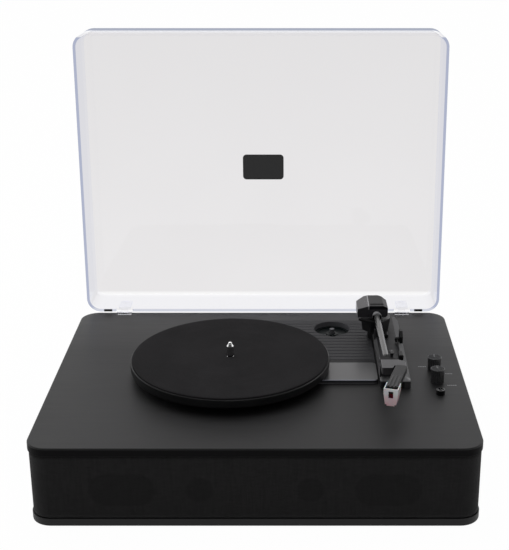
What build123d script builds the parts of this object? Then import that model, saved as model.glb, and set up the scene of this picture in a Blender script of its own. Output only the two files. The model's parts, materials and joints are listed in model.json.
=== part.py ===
from build123d import *
import math
import os

# All sizes are in millimetres. X runs to the right, Y to the back and Z up.
# Heights that end in _RISE are counted from the deck, the upper face of the case.

# Case: two plates with rounded corners and a slightly set back body between them
CASE_WIDTH = 420.0
CASE_DEPTH = 330.0
CASE_HEIGHT = 81.0
CASE_CORNER_RADIUS = 20.0
PLATE_THICKNESS = 8.0
PLATE_EDGE_RADIUS = 1.2
BODY_RECESS = 1.0
WALL_THICKNESS = 12.0
WALL_RETURN = 8.0
BAFFLE_THICKNESS = 20.0
CLOTH_THICKNESS = 0.8
CLOTH_GAP = 0.8
OVERRUN = 1.0

# Rubber feet under the base plate
FOOT_HEIGHT = 3.5
FOOT_RADIUS = 11.0
FOOT_TIP_RADIUS = 9.5
FOOT_INSET = 42.0
FOOT_STEM_RADIUS = 4.0
FOOT_STEM_LENGTH = 5.0
FOOT_STEM_CLEARANCE = 0.1

# Screws that hold the base plate to the walls
SCREW_RADIUS = 1.8
SCREW_HEAD_RADIUS = 3.6
SCREW_HEAD_HEIGHT = 2.0
SCREW_GRIP = 12.0
SCREW_CLEARANCE = 0.1
SCREW_SPACING = 120.0

# Speakers behind the cloth: racetrack woofers outside, round tweeters inside
SPEAKER_HEIGHT = 37.7
WOOFER_OFFSET = 122.5
WOOFER_LENGTH = 64.0
WOOFER_HEIGHT = 36.0
WOOFER_FLANGE_WIDTH = 6.0
WOOFER_FLANGE_THICKNESS = 2.5
WOOFER_BASKET_DEPTH = 15.0
WOOFER_BASKET_WALL = 1.5
WOOFER_NECK_RADIUS = 13.0
WOOFER_MAGNET_RADIUS = 20.0
WOOFER_MAGNET_THICKNESS = 10.0
CONE_CLEARANCE = 0.6
CONE_RIM_THICKNESS = 1.2
CONE_DEPTH = 10.0
CONE_NECK_RADIUS = 9.0
CONE_WALL = 1.0
DUST_CAP_HEIGHT = 3.0
TWEETER_OFFSET = 51.0
TWEETER_RADIUS = 12.5
TWEETER_FLANGE_WIDTH = 5.0
TWEETER_FLANGE_THICKNESS = 2.5
TWEETER_CAN_RADIUS = 14.0
TWEETER_CAN_DEPTH = 14.0
TWEETER_DISH_DEPTH = 5.0
TWEETER_DOME_RADIUS = 7.0
TWEETER_DOME_HEIGHT = 3.5

# Circuit board on pillars, and the sockets in the back panel
BOARD_WIDTH = 92.0
BOARD_DEPTH = 58.0
BOARD_THICKNESS = 1.6
BOARD_SIDE_INSET = 100.0
BOARD_BACK_GAP = 15.0
PILLAR_RADIUS = 3.5
PILLAR_HEIGHT = 7.0
PILLAR_INSET = 5.0
HEAT_SINK_WIDTH = 34.0
HEAT_SINK_DEPTH = 14.0
HEAT_SINK_HEIGHT = 22.0
HEAT_SINK_FIN = 2.0
HEAT_SINK_FIN_COUNT = 6
CAPACITOR_RADIUS = 5.0
CAPACITOR_HEIGHT = 16.0
CAPACITOR_SPACING = 14.0
SOCKET_PLATE_WIDTH = 96.0
SOCKET_PLATE_HEIGHT = 34.0
SOCKET_PLATE_THICKNESS = 2.0
SOCKET_PLATE_RADIUS = 4.0
SOCKET_HOLE_RADIUS = 8.0
SOCKET_SPACING = 20.0
SOCKET_COUNT = 4
SOCKET_CLEARANCE = 0.1
RCA_RADIUS = 4.15
RCA_LENGTH = 9.0
RCA_CORE_RADIUS = 1.6
RCA_CORE_DEPTH = 8.0
RCA_COLLAR_RADIUS = 6.0
RCA_COLLAR_THICKNESS = 1.5
SOCKET_BODY_LENGTH = 12.0
LINE_IN_RADIUS = 4.0
LINE_IN_BORE_RADIUS = 1.8
LINE_IN_BORE_DEPTH = 11.0
LINE_IN_PROUD = 1.5
POWER_INLET_RADIUS = 5.5
POWER_INLET_BORE_RADIUS = 2.9
POWER_INLET_PIN_RADIUS = 1.0
POWER_INLET_DEPTH = 9.0
POWER_INLET_PROUD = 1.0

# Moulded deck insert: a grooved panel, a raised smooth pad and a round well
INSERT_LEFT_REACH = 46.0
INSERT_RIGHT_REACH = 151.5
INSERT_FRONT_REACH = 31.5
INSERT_BACK_REACH = 134.5
INSERT_RADIUS = 7.0
INSERT_FLANGE = 2.0
INSERT_FLANGE_RISE = 1.5
INSERT_DEPTH = 1.2
INSERT_SKIRT_DEPTH = 7.0
INSERT_SKIRT_WALL = 2.0
INSERT_FIT_GAP = 0.4
GROOVE_PITCH = 8.2
GROOVE_WIDTH = 1.2
GROOVE_DEPTH = 0.4
PAD_BACK_REACH = 12.0
PAD_RISE = 4.2
PAD_RADIUS = 5.0
PAD_EDGE_RADIUS = 0.8
WELL_RIGHT_INSET = 42.8
WELL_BACK_INSET = 24.5
WELL_RADIUS = 20.1
WELL_WALL = 1.8
WELL_DEPTH = 8.5
WELL_FLOOR = 2.0
WELL_POST_RADIUS = 2.7
WELL_POST_SINK = 0.3
WELL_NOTCH_WIDTH = 6.5
WELL_NOTCH_REACH = 2.6
ADAPTER_CLEARANCE = 0.4
ADAPTER_HEIGHT = 4.5
ADAPTER_BORE_RADIUS = 3.65
ADAPTER_RIM = 3.0
ADAPTER_STEP = 1.0

# Platter, its mat, the spindle and the bearing
SPINDLE_RIGHT_INSET = 240.0
SPINDLE_BACK_INSET = 162.5
SPINDLE_RADIUS = 3.6
SPINDLE_TIP_RADIUS = 2.2
SPINDLE_TIP_LENGTH = 4.5
SPINDLE_STAND = 15.0
SPINDLE_DEPTH = 26.0
SPINDLE_GROOVE_RADIUS = 3.0
SPINDLE_GROOVE_WIDTH = 1.2
SPINDLE_GROOVE_RISE = 0.2
MAT_TOP_RISE = 17.8
MAT_THICKNESS = 1.6
MAT_MARGIN = 1.2
PLATTER_RADIUS = 102.5
PLATTER_RIM_HEIGHT = 8.5
PLATTER_RIM_WALL = 3.0
PLATTER_TOP_THICKNESS = 2.6
PLATTER_EDGE_RADIUS = 0.8
HUB_RADIUS = 11.0
HUB_BOTTOM_RISE = 6.6
RUNNING_CLEARANCE = 0.06
PLATTER_RIB_COUNT = 10
PLATTER_RIB_WALL = 1.8
PLATTER_RIB_SETBACK = 0.4
DRIVE_RING_RADIUS = 58.0
DRIVE_RING_WALL = 2.2
DRIVE_RING_BOTTOM_RISE = 5.2
BUSH_RADIUS = 6.0
BUSH_FLANGE_RADIUS = 9.0
BUSH_FLANGE_THICKNESS = 2.0
BEARING_BOSS_WALL = 3.0
BEARING_BOSS_DEPTH = 20.0
MAT_HOLE_CLEARANCE = 0.4

# Motor, pulley and belt
MOTOR_DISTANCE = 75.0
MOTOR_BEARING_DEG = 61.0
MOTOR_RADIUS = 17.5
MOTOR_HEIGHT = 24.0
MOTOR_BOSS_RADIUS = 5.0
MOTOR_BOSS_HEIGHT = 2.0
MOTOR_SHAFT_RADIUS = 1.0
MOTOR_SCREW_CIRCLE = 12.0
MOTOR_SCREW_COUNT = 3
MOTOR_SCREW_RADIUS = 1.3
MOTOR_SCREW_HEAD_RADIUS = 2.4
MOTOR_SCREW_HEAD_HEIGHT = 1.4
MOTOR_SCREW_LENGTH = 6.0
PULLEY_RADIUS = 6.0
PULLEY_FLANGE_RADIUS = 7.4
PULLEY_FLANGE_THICKNESS = 0.8
PULLEY_BOTTOM_RISE = 4.4
PULLEY_HOLE_CLEARANCE = 1.2
BELT_THICKNESS = 0.8
BELT_HEIGHT = 3.6
BELT_GAP = 0.1
BELT_BOTTOM_RISE = 5.9

# Tonearm base: a bevelled moulding at the right of the insert
ARM_BASE_GAP = 1.0
ARM_BASE_WIDTH = 30.9
ARM_BASE_LENGTH = 171.0
ARM_BASE_BACK_REACH = 41.0
ARM_BASE_RADIUS = 2.5
ARM_BASE_BACK_RADIUS = 13.0
ARM_BASE_WALL_RISE = 7.5
ARM_BASE_RISE = 12.0
ARM_BASE_BEVEL = 6.8
ARM_BASE_LEFT_BEVEL = 2.6
ARM_BASE_SHELL = 2.2
ARM_BASE_BOSS = 8.0
COLUMN_RISE = 26.2
COLUMN_FOOT_APOTHEM = 14.0
COLUMN_TOP_APOTHEM = 16.0
COLUMN_SIDES = 8
COLUMN_LEDGE = 1.5

# Tonearm: pivot, yoke, faceted rear housing, tube, elbow, headshell and pickup
PIVOT_SPINDLE_X = 155.3
PIVOT_SPINDLE_Y = 87.5
ARM_REST_DEG = 1.0
PIVOT_RISE = 33.5
YOKE_SHAFT_RADIUS = 3.0
YOKE_SHAFT_BOTTOM_RISE = 4.0
YOKE_DISC_RADIUS = 10.5
YOKE_DISC_THICKNESS = 1.8
YOKE_GAP = 0.3
YOKE_CHEEK_OFFSET = 7.5
YOKE_CHEEK_THICKNESS = 3.0
YOKE_CHEEK_LENGTH = 8.0
YOKE_CHEEK_TOP = 3.5
PIVOT_BUSH_RADIUS = 4.6
PIVOT_PIN_RADIUS = 1.0
HOUSING_WIDTH = 33.0
HOUSING_SHIFT = -4.0
HOUSING_FRONT = 14.0
HOUSING_REAR = 19.0
HOUSING_BOTTOM = 3.6
HOUSING_TOP = 9.6
HOUSING_FACET_WIDTH = 12.4
HOUSING_FACET_DROP = 3.4
HOUSING_REAR_CHAMFER = 8.5
HOUSING_SIDE_CHAMFER = 2.4
HOUSING_WALL = 2.5
HOUSING_SLOT_WIDTH = 1.0
HOUSING_SLOT_DEPTH = 1.0
HOUSING_SLOT_LENGTH = 15.5
HOUSING_SLOT_SETBACK = 3.6
CAVITY_HALF_WIDTH = 10.0
CAVITY_FRONT = 9.0
CAVITY_REAR = 8.0
WEIGHT_RADIUS = 4.2
WEIGHT_LENGTH = 8.0
WEIGHT_CLEARANCE = 0.05
COLLAR_LENGTH = 6.0
COLLAR_BACK_RADIUS = 3.7
COLLAR_FRONT_RADIUS = 5.2
COLLAR_RING_LENGTH = 2.6
COLLAR_RING_RADIUS = 4.9
TUBE_RADIUS = 3.1
TUBE_WALL = 0.6
TUBE_START = 10.5
TUBE_END = 137.0
TUBE_FIT = 0.05
TUBE_RING_RADIUS = 3.6
TUBE_RING_START = 127.9
TUBE_RING_END = 131.5
ELBOW_START = 131.5
ELBOW_CORNER = 160.0
ELBOW_REACH = 156.8
ELBOW_INNER = 6.6
ELBOW_OUTER = 17.2
ELBOW_NOTCH = 5.7
ELBOW_NOTCH_DEPTH = 5.6
ELBOW_SHOULDER = 8.0
ELBOW_SHOULDER_LENGTH = 6.0
ELBOW_FLANK_LENGTH = 15.0
ELBOW_TOP = 3.3
ELBOW_BOTTOM = 3.6
HEADSHELL_DEG = 16.5
HEADSHELL_FRONT = 203.5
HEADSHELL_FRONT_SHIFT = -1.6
HEADSHELL_LENGTH = 51.0
HEADSHELL_WIDTH = 11.2
HEADSHELL_TOP = 3.6
HEADSHELL_PLATE = 1.6
HEADSHELL_SIDE_DEPTH = 6.0
HEADSHELL_SIDE_WALL = 1.2
HEADSHELL_RADIUS = 3.0
HEADSHELL_RIB_COUNT = 3
HEADSHELL_RIB_WIDTH = 1.2
HEADSHELL_RIB_HEIGHT = 0.7
HEADSHELL_RIB_LENGTH = 25.0
HEADSHELL_RIB_PITCH = 3.4
CARTRIDGE_WIDTH = 8.2
CARTRIDGE_LENGTH = 22.0
CARTRIDGE_HEIGHT = 6.4
CARTRIDGE_NOSE = 1.5
PIN_RADIUS = 0.6
PIN_LENGTH = 5.0
PIN_SPACING = 2.0
PIN_COUNT = 4
STYLUS_WIDTH = 5.0
STYLUS_LENGTH = 15.0
STYLUS_HEIGHT = 7.0
STYLUS_CANTILEVER_RISE = 2.2
STYLUS_CANTILEVER_RADIUS = 0.45
STYLUS_CANTILEVER_LENGTH = 6.0
STYLUS_TIP_LENGTH = 2.0
GUARD_WALL = 1.0
GUARD_LENGTH = 15.0
GUARD_TOP = 3.2
GUARD_BOTTOM = 12.7
GUARD_REACH = 3.4
GUARD_WINDOW_WIDTH = 4.6
GUARD_WINDOW_HEIGHT = 6.9
GUARD_WINDOW_DROP = 2.6
GUARD_LIP_WIDTH = 7.5
GUARD_LIP_HEIGHT = 1.4
GUARD_GAP = 0.3
GUARD_TAPER_SHARE = 0.72

# Arm rest, its latch, the cueing parts and the speed switch
REST_DISTANCE = 124.0
REST_LENGTH = 7.0
REST_LEFT = 5.8
REST_RIGHT = 7.2
REST_EAR = 2.6
REST_GAP = 0.3
REST_EAR_RISE = 37.0
LATCH_PIN_RADIUS = 0.9
LATCH_LENGTH = 7.0
LATCH_WIDTH = 5.0
LATCH_TIP_WIDTH = 2.6
LATCH_THICKNESS = 1.8
LATCH_GAP = 0.3
CUE_POST_INSET = 2.8
CUE_POST_DISTANCE = 38.0
CUE_POST_WIDTH = 3.4
CUE_POST_DEPTH = 12.0
CUE_POST_HEIGHT = 12.0
CUE_PIN_RADIUS = 1.3
CUE_PIN_LENGTH = 5.0
CUE_PIN_FORWARD = 3.0
CUE_PIN_RISE = 3.6
CUE_HUB_RADIUS = 2.8
CUE_HUB_LENGTH = 4.2
CUE_ROD_RADIUS = 1.0
CUE_ROD_LENGTH = 38.0
CUE_HANDLE_WIDTH = 5.0
CUE_HANDLE_LENGTH = 13.0
CUE_HANDLE_HEIGHT = 6.0
CUE_HANDLE_RADIUS = 1.2
CUE_LIFT_RADIUS = 25.0
CUE_LIFT_WIDTH = 2.6
CUE_LIFT_THICKNESS = 2.0
CUE_LIFT_SWEEP_DEG = 54.0
CUE_LIFT_LEAD_DEG = 6.0
CUE_LIFT_SHAFT_RADIUS = 1.8
CUE_LIFT_GAP = 0.3
CUE_LIFT_GUIDE_WALL = 1.4
CUE_LIFT_GUIDE_RISE = 21.0
SWITCH_ASIDE = 10.7
SWITCH_DISTANCE = 25.0
SWITCH_WIDTH = 3.6
SWITCH_LENGTH = 8.0
SWITCH_HEIGHT = 4.0
SWITCH_STEM_WIDTH = 1.8
SWITCH_STEM_LENGTH = 4.0
SWITCH_STEM_DEPTH = 5.0
SWITCH_TRAVEL = 3.5
SWITCH_GAP = 0.2

# Knobs and headphone socket in the deck
CONTROL_INSET = 28.4
CONTROL_LEAD = 2.5
CONTROL_SPACING = 28.5
KNOB_RADIUS = 6.8
KNOB_HEIGHT = 14.4
KNOB_CAP_RADIUS = 7.2
KNOB_CAP_HEIGHT = 1.1
KNOB_GAP = 0.5
KNOB_FLUTE_COUNT = 20
KNOB_FLUTE_RADIUS = 0.5
KNOB_MARK_WIDTH = 0.8
KNOB_MARK_DEPTH = 0.4
KNOB_SHAFT_RADIUS = 3.0
KNOB_SHAFT_LENGTH = 18.0
POT_RADIUS = 8.5
POT_HEIGHT = 9.0
POT_NECK_RADIUS = 4.4
POT_HOLE_CLEARANCE = 0.3
JACK_RADIUS = 4.45
JACK_PROUD = 5.2
JACK_BORE_RADIUS = 1.8
JACK_BORE_DEPTH = 15.0
JACK_RING_RADIUS = 3.1
JACK_RING_DEPTH = 0.9
JACK_NECK_RADIUS = 3.6
JACK_BODY_WIDTH = 11.0
JACK_BODY_HEIGHT = 8.0

# Dust cover with its hinges, plate and bumpers
COVER_INSET = 5.0
COVER_HEIGHT = 58.0
COVER_WALL = 3.0
COVER_RADIUS = 15.5
COVER_EDGE_RADIUS = 6.0
COVER_GAP = 1.0
COVER_OPEN_DEG = 92.3
HINGE_INSET = 48.0
HINGE_SETBACK = 3.0
HINGE_WIDTH = 17.0
HINGE_NOTCH_DEPTH = 7.4
HINGE_KNUCKLE_RADIUS = 3.0
HINGE_KNUCKLE_LENGTH = 8.0
HINGE_SIDE_GAP = 0.3
HINGE_PIN_RADIUS = 1.3
HINGE_BLOCK_THICKNESS = 3.2
HINGE_LEAF_WIDTH = 13.0
HINGE_LEAF_HEIGHT = 22.0
HINGE_LEAF_THICKNESS = 2.6
HINGE_STRAP_THICKNESS = 2.2
HINGE_NOTCH_MARGIN = 1.0
HINGE_NOTCH_HEIGHT = 4.6
HINGE_BUTTON_RADIUS = 3.2
HINGE_BUTTON_HEIGHT = 1.4
BADGE_WIDTH = 47.6
BADGE_HEIGHT = 29.6
BADGE_THICKNESS = 1.0
BADGE_RADIUS = 4.2
BADGE_BORDER = 1.6
BADGE_SINK = 0.3
BUMPER_INSET = 24.0
BUMPER_LENGTH = 9.4
BUMPER_WIDTH = 2.6
BUMPER_THICKNESS = 0.8

# Levels and places that follow from the sizes above
BASE_Z = FOOT_HEIGHT
DECK_Z = BASE_Z + CASE_HEIGHT
DECK_RIGHT = CASE_WIDTH / 2
DECK_BACK = CASE_DEPTH / 2
BODY_BOTTOM = BASE_Z + PLATE_THICKNESS
BODY_TOP = DECK_Z - PLATE_THICKNESS
BODY_WIDTH = CASE_WIDTH - 2 * BODY_RECESS
BODY_DEPTH = CASE_DEPTH - 2 * BODY_RECESS
BODY_RADIUS = CASE_CORNER_RADIUS - BODY_RECESS
BODY_FRONT = -BODY_DEPTH / 2
BODY_BACK = BODY_DEPTH / 2
BAFFLE_BACK = BODY_FRONT + BAFFLE_THICKNESS
RETURN_EDGE = BODY_WIDTH / 2 - BODY_RADIUS - WALL_RETURN
SPEAKER_Z = BASE_Z + SPEAKER_HEIGHT
BOARD_OFFSET_X = DECK_RIGHT - BOARD_SIDE_INSET
BOARD_OFFSET_Y = BODY_BACK - WALL_THICKNESS - BOARD_BACK_GAP - BOARD_DEPTH / 2
SPINDLE_X = DECK_RIGHT - SPINDLE_RIGHT_INSET
SPINDLE_Y = DECK_BACK - SPINDLE_BACK_INSET
MAT_TOP = DECK_Z + MAT_TOP_RISE
PLATTER_TOP = MAT_TOP - MAT_THICKNESS
PLATTER_BORE_RADIUS = SPINDLE_RADIUS + RUNNING_CLEARANCE
PAD_TOP = DECK_Z + PAD_RISE
INSERT_TOP = DECK_Z + INSERT_FLANGE_RISE
INSERT_LEFT = SPINDLE_X - INSERT_LEFT_REACH
INSERT_RIGHT = SPINDLE_X + INSERT_RIGHT_REACH
INSERT_FRONT = SPINDLE_Y - INSERT_FRONT_REACH
INSERT_BACK = SPINDLE_Y + INSERT_BACK_REACH
PAD_BACK = SPINDLE_Y + PAD_BACK_REACH
WELL_X = INSERT_RIGHT - WELL_RIGHT_INSET
WELL_Y = INSERT_BACK - WELL_BACK_INSET
CUTOUT_LEFT = INSERT_LEFT + INSERT_FLANGE
CUTOUT_RIGHT = INSERT_RIGHT - INSERT_FLANGE
CUTOUT_FRONT = INSERT_FRONT + INSERT_FLANGE
CUTOUT_BACK = INSERT_BACK - INSERT_FLANGE
MOTOR_X = SPINDLE_X + MOTOR_DISTANCE * math.cos(math.radians(MOTOR_BEARING_DEG))
MOTOR_Y = SPINDLE_Y + MOTOR_DISTANCE * math.sin(math.radians(MOTOR_BEARING_DEG))
PIVOT_X = SPINDLE_X + PIVOT_SPINDLE_X
PIVOT_Y = SPINDLE_Y + PIVOT_SPINDLE_Y
ARM_BASE_LEFT = INSERT_RIGHT + ARM_BASE_GAP
ARM_BASE_RIGHT = ARM_BASE_LEFT + ARM_BASE_WIDTH
ARM_BASE_BACK = PIVOT_Y + ARM_BASE_BACK_REACH
ARM_BASE_FRONT = ARM_BASE_BACK - ARM_BASE_LENGTH
ARM_BASE_TOP = DECK_Z + ARM_BASE_RISE
COLUMN_TOP = DECK_Z + COLUMN_RISE
PIVOT_Z = DECK_Z + PIVOT_RISE
TUBE_BOTTOM = PIVOT_Z - TUBE_RADIUS
CUE_POST_X = ARM_BASE_RIGHT - CUE_POST_INSET
CUE_POST_Y = PIVOT_Y - CUE_POST_DISTANCE
SWITCH_X = PIVOT_X + SWITCH_ASIDE
SWITCH_Y = PIVOT_Y - SWITCH_DISTANCE
CONTROL_X = DECK_RIGHT - CONTROL_INSET
CONTROL_Y = SPINDLE_Y + CONTROL_LEAD
HINGE_OFFSET = DECK_RIGHT - HINGE_INSET
HINGE_Y = DECK_BACK - HINGE_SETBACK
HINGE_Z = DECK_Z
COVER_WIDTH = CASE_WIDTH - 2 * COVER_INSET
COVER_DEPTH = CASE_DEPTH - 2 * COVER_INSET
COVER_BACK = DECK_BACK - COVER_INSET
BUMPER_OFFSET = COVER_WIDTH / 2 - BUMPER_INSET
COVER_RIM_Z = DECK_Z + COVER_GAP


def block(left, right, front, back, bottom, top):
    """Box between two values on each axis."""
    solid = Box(right - left, back - front, top - bottom)
    return Pos((left + right) / 2, (front + back) / 2, (bottom + top) / 2) * solid


def centred_block(width, depth, x, y, bottom, top):
    """Box centred on a place, between two levels."""
    return block(x - width / 2, x + width / 2, y - depth / 2, y + depth / 2, bottom, top)


def rod(radius, x, y, bottom, top):
    """Upright cylinder between two levels."""
    return Pos(x, y, (bottom + top) / 2) * Cylinder(radius, top - bottom)


def slab(outline, bottom, top):
    """Flat outline given a thickness."""
    return Pos(0, 0, bottom) * extrude(outline, top - bottom)


def rod_along_x(radius, left, right, y, z):
    """Cylinder that lies along X."""
    return Pos((left + right) / 2, y, z) * Rot(0, 90, 0) * Cylinder(radius, right - left)


def rod_along_y(radius, x, front, back, z):
    """Cylinder that lies along Y."""
    return Pos(x, (front + back) / 2, z) * Rot(90, 0, 0) * Cylinder(radius, back - front)


def group(pieces):
    """Separate pieces that share one node."""
    return Compound([solid for piece in pieces for solid in piece.solids()])


def top_edges(solid):
    """Edges of the highest flat face."""
    return solid.faces().sort_by(Axis.Z)[-1].edges()


def bottom_edges(solid):
    """Edges of the lowest flat face."""
    return solid.faces().sort_by(Axis.Z)[0].edges()


def rounded_rectangle(left, right, front, back, radius):
    """Flat outline between two values on each axis, with round corners."""
    outline = RectangleRounded(right - left, back - front, radius)
    return Pos((left + right) / 2, (front + back) / 2) * outline


def polygon(points):
    """Flat outline through points, kept where they are."""
    return make_face(Polyline(*points, close=True))


def plate_outline():
    """Outline that the deck and the base plate share."""
    return RectangleRounded(CASE_WIDTH, CASE_DEPTH, CASE_CORNER_RADIUS)


def screw_places():
    """Places of the screws in the base plate, along the side walls and the back."""
    side = BODY_WIDTH / 2 - WALL_THICKNESS / 2
    back = BODY_BACK - WALL_THICKNESS / 2
    front = BODY_FRONT + BAFFLE_THICKNESS / 2
    places = [(sign * side, row * SCREW_SPACING / 2) for sign in (-1, 1) for row in (-1, 1)]
    places += [(row * SCREW_SPACING, back) for row in (-1, 0, 1)]
    places += [(row * SCREW_SPACING, front) for row in (-1, 0, 1)]
    return places


def foot_places():
    """Places of the four feet."""
    x = CASE_WIDTH / 2 - FOOT_INSET
    y = CASE_DEPTH / 2 - FOOT_INSET
    return [(sign_x * x, sign_y * y) for sign_x in (-1, 1) for sign_y in (-1, 1)]


def control_places():
    """Places of the two knobs and the headphone socket, from back to front."""
    return [(CONTROL_X, CONTROL_Y - row * CONTROL_SPACING) for row in range(3)]


# Case
def make_top_plate():
    plate = slab(plate_outline(), BODY_TOP, DECK_Z)
    plate = fillet(top_edges(plate), PLATE_EDGE_RADIUS)
    cutout = rounded_rectangle(CUTOUT_LEFT, CUTOUT_RIGHT, CUTOUT_FRONT, CUTOUT_BACK, INSERT_RADIUS)
    low = BODY_TOP - OVERRUN
    high = DECK_Z + OVERRUN
    plate -= slab(cutout, low, high)
    knobs = control_places()[:2]
    for x, y in knobs:
        plate -= rod(POT_NECK_RADIUS + POT_HOLE_CLEARANCE, x, y, low, high)
    jack_x, jack_y = control_places()[2]
    plate -= rod(JACK_NECK_RADIUS + POT_HOLE_CLEARANCE, jack_x, jack_y, low, high)
    for side in (-1, 1):
        x = side * HINGE_OFFSET
        plate -= centred_block(HINGE_WIDTH, 2 * HINGE_NOTCH_DEPTH, x, CASE_DEPTH / 2, low, high)
    return plate


def make_base_plate():
    plate = slab(plate_outline(), BASE_Z, BODY_BOTTOM)
    plate = fillet(bottom_edges(plate), PLATE_EDGE_RADIUS)
    for x, y in foot_places():
        hole = FOOT_STEM_RADIUS + FOOT_STEM_CLEARANCE
        plate -= rod(hole, x, y, BASE_Z - OVERRUN, BASE_Z + FOOT_STEM_LENGTH)
    for x, y in screw_places():
        plate -= rod(SCREW_RADIUS + SCREW_CLEARANCE, x, y, BASE_Z, BODY_BOTTOM + OVERRUN)
        head = SCREW_HEAD_RADIUS + SCREW_CLEARANCE
        plate -= rod(head, x, y, BASE_Z - OVERRUN, BASE_Z + SCREW_HEAD_HEIGHT)
    return plate


def make_rubber_feet():
    feet = []
    for x, y in foot_places():
        pad = Cone(FOOT_TIP_RADIUS, FOOT_RADIUS, FOOT_HEIGHT)
        foot = Pos(x, y, FOOT_HEIGHT / 2) * pad
        foot += rod(FOOT_STEM_RADIUS, x, y, FOOT_HEIGHT / 2, BASE_Z + FOOT_STEM_LENGTH)
        feet.append(foot)
    return group(feet)


def make_case_screws():
    screws = []
    for x, y in screw_places():
        screw = rod(SCREW_HEAD_RADIUS, x, y, BASE_Z, BASE_Z + SCREW_HEAD_HEIGHT)
        screw += rod(SCREW_RADIUS, x, y, BASE_Z, BODY_BOTTOM + SCREW_GRIP)
        screws.append(screw)
    return group(screws)


def pilot_holes():
    """Holes in the walls that the screws of the base plate go into."""
    radius = SCREW_RADIUS + SCREW_CLEARANCE
    top = BODY_BOTTOM + SCREW_GRIP + OVERRUN
    holes = Part()
    for x, y in screw_places():
        holes += rod(radius, x, y, BODY_BOTTOM - OVERRUN, top)
    return holes


def body_ring(offset, thickness, bottom, top):
    """Closed band with round corners, set in from the body's outline."""
    width = BODY_WIDTH - 2 * offset
    depth = BODY_DEPTH - 2 * offset
    outer = RectangleRounded(width, depth, BODY_RADIUS - offset)
    inner_radius = BODY_RADIUS - offset - thickness
    inner = RectangleRounded(width - 2 * thickness, depth - 2 * thickness, inner_radius)
    return slab(outer - inner, bottom, top)


def make_side_wall(side):
    ring = body_ring(0, WALL_THICKNESS, BODY_BOTTOM, BODY_TOP)
    near = side * RETURN_EDGE
    far = side * CASE_WIDTH / 2
    reach = block(min(near, far), max(near, far), BAFFLE_BACK, CASE_DEPTH / 2, BODY_BOTTOM, BODY_TOP)
    return (ring & reach) - pilot_holes()


def socket_x(index):
    """Place along X of one of the four sockets in the back panel."""
    return BOARD_OFFSET_X + (index - (SOCKET_COUNT - 1) / 2) * SOCKET_SPACING


def make_back_panel():
    inner = BODY_BACK - WALL_THICKNESS
    panel = block(-RETURN_EDGE, RETURN_EDGE, inner, BODY_BACK, BODY_BOTTOM, BODY_TOP)
    panel -= pilot_holes()
    for index in range(SOCKET_COUNT):
        x = socket_x(index)
        panel -= rod_along_y(SOCKET_HOLE_RADIUS, x, inner - OVERRUN, BODY_BACK + OVERRUN, SPEAKER_Z)
    return panel


def upright(outline, front, back):
    """Outline drawn in X and Z, given a depth along Y."""
    return Pos(0, back, 0) * Rot(90, 0, 0) * extrude(outline, back - front)


def make_front_baffle():
    """Three boards side by side: the ends round the woofers, the middle round the tweeters."""
    outer = RectangleRounded(
        BODY_WIDTH - 2 * CLOTH_THICKNESS,
        BODY_DEPTH - 2 * CLOTH_THICKNESS,
        BODY_RADIUS - CLOTH_THICKNESS,
    )
    front = -CASE_DEPTH / 2
    half = CASE_WIDTH / 2
    baffle = slab(outer, BODY_BOTTOM, BODY_TOP)
    baffle &= block(-half, half, front, BAFFLE_BACK, BODY_BOTTOM, BODY_TOP)
    back = BAFFLE_BACK + OVERRUN
    for side in (-1, 1):
        slot = Pos(side * WOOFER_OFFSET, SPEAKER_Z) * SlotOverall(WOOFER_LENGTH, WOOFER_HEIGHT)
        baffle -= upright(slot, front, back)
        hole = Pos(side * TWEETER_OFFSET, SPEAKER_Z) * Circle(TWEETER_RADIUS)
        baffle -= upright(hole, front, back)
    baffle -= pilot_holes()
    joint = (TWEETER_OFFSET + TWEETER_RADIUS + WOOFER_OFFSET - WOOFER_LENGTH / 2) / 2
    ends = (-half, -joint, joint, half)
    spans = zip(ends, ends[1:])
    return group([baffle & block(left, right, front, back, BODY_BOTTOM, BODY_TOP) for left, right in spans])


def make_grille_cloth():
    half = CASE_WIDTH / 2
    band = body_ring(0, CLOTH_THICKNESS, BODY_BOTTOM + CLOTH_GAP, BODY_TOP)
    return band & block(-half, half, -CASE_DEPTH / 2, BAFFLE_BACK, BODY_BOTTOM, BODY_TOP)


def face_front(solid, x):
    """Turns a driver built facing up so that it faces the front, behind the baffle."""
    return Pos(x, BAFFLE_BACK, SPEAKER_Z) * Rot(90, 0, 0) * solid


def make_woofer_basket(side):
    length = WOOFER_LENGTH + 2 * WOOFER_FLANGE_WIDTH
    height = WOOFER_HEIGHT + 2 * WOOFER_FLANGE_WIDTH
    low = -WOOFER_FLANGE_THICKNESS
    neck = low - WOOFER_BASKET_DEPTH
    flange = slab(SlotOverall(length, height), low, 0)
    mouth = Pos(0, 0, low) * SlotOverall(WOOFER_LENGTH, WOOFER_HEIGHT)
    basket = loft([mouth, Pos(0, 0, neck) * Circle(WOOFER_NECK_RADIUS)])
    inner_mouth = Pos(0, 0, low) * SlotOverall(
        WOOFER_LENGTH - 2 * WOOFER_BASKET_WALL, WOOFER_HEIGHT - 2 * WOOFER_BASKET_WALL
    )
    floor = neck + WOOFER_BASKET_WALL
    hollow = loft([inner_mouth, Pos(0, 0, floor) * Circle(WOOFER_NECK_RADIUS - WOOFER_BASKET_WALL)])
    magnet = rod(WOOFER_MAGNET_RADIUS, 0, 0, neck - WOOFER_MAGNET_THICKNESS, neck)
    inner_slot = SlotOverall(
        WOOFER_LENGTH - 2 * WOOFER_BASKET_WALL, WOOFER_HEIGHT - 2 * WOOFER_BASKET_WALL
    )
    driver = flange + basket + magnet - hollow - slab(inner_slot, low, OVERRUN)
    return face_front(driver, side * WOOFER_OFFSET)


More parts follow.
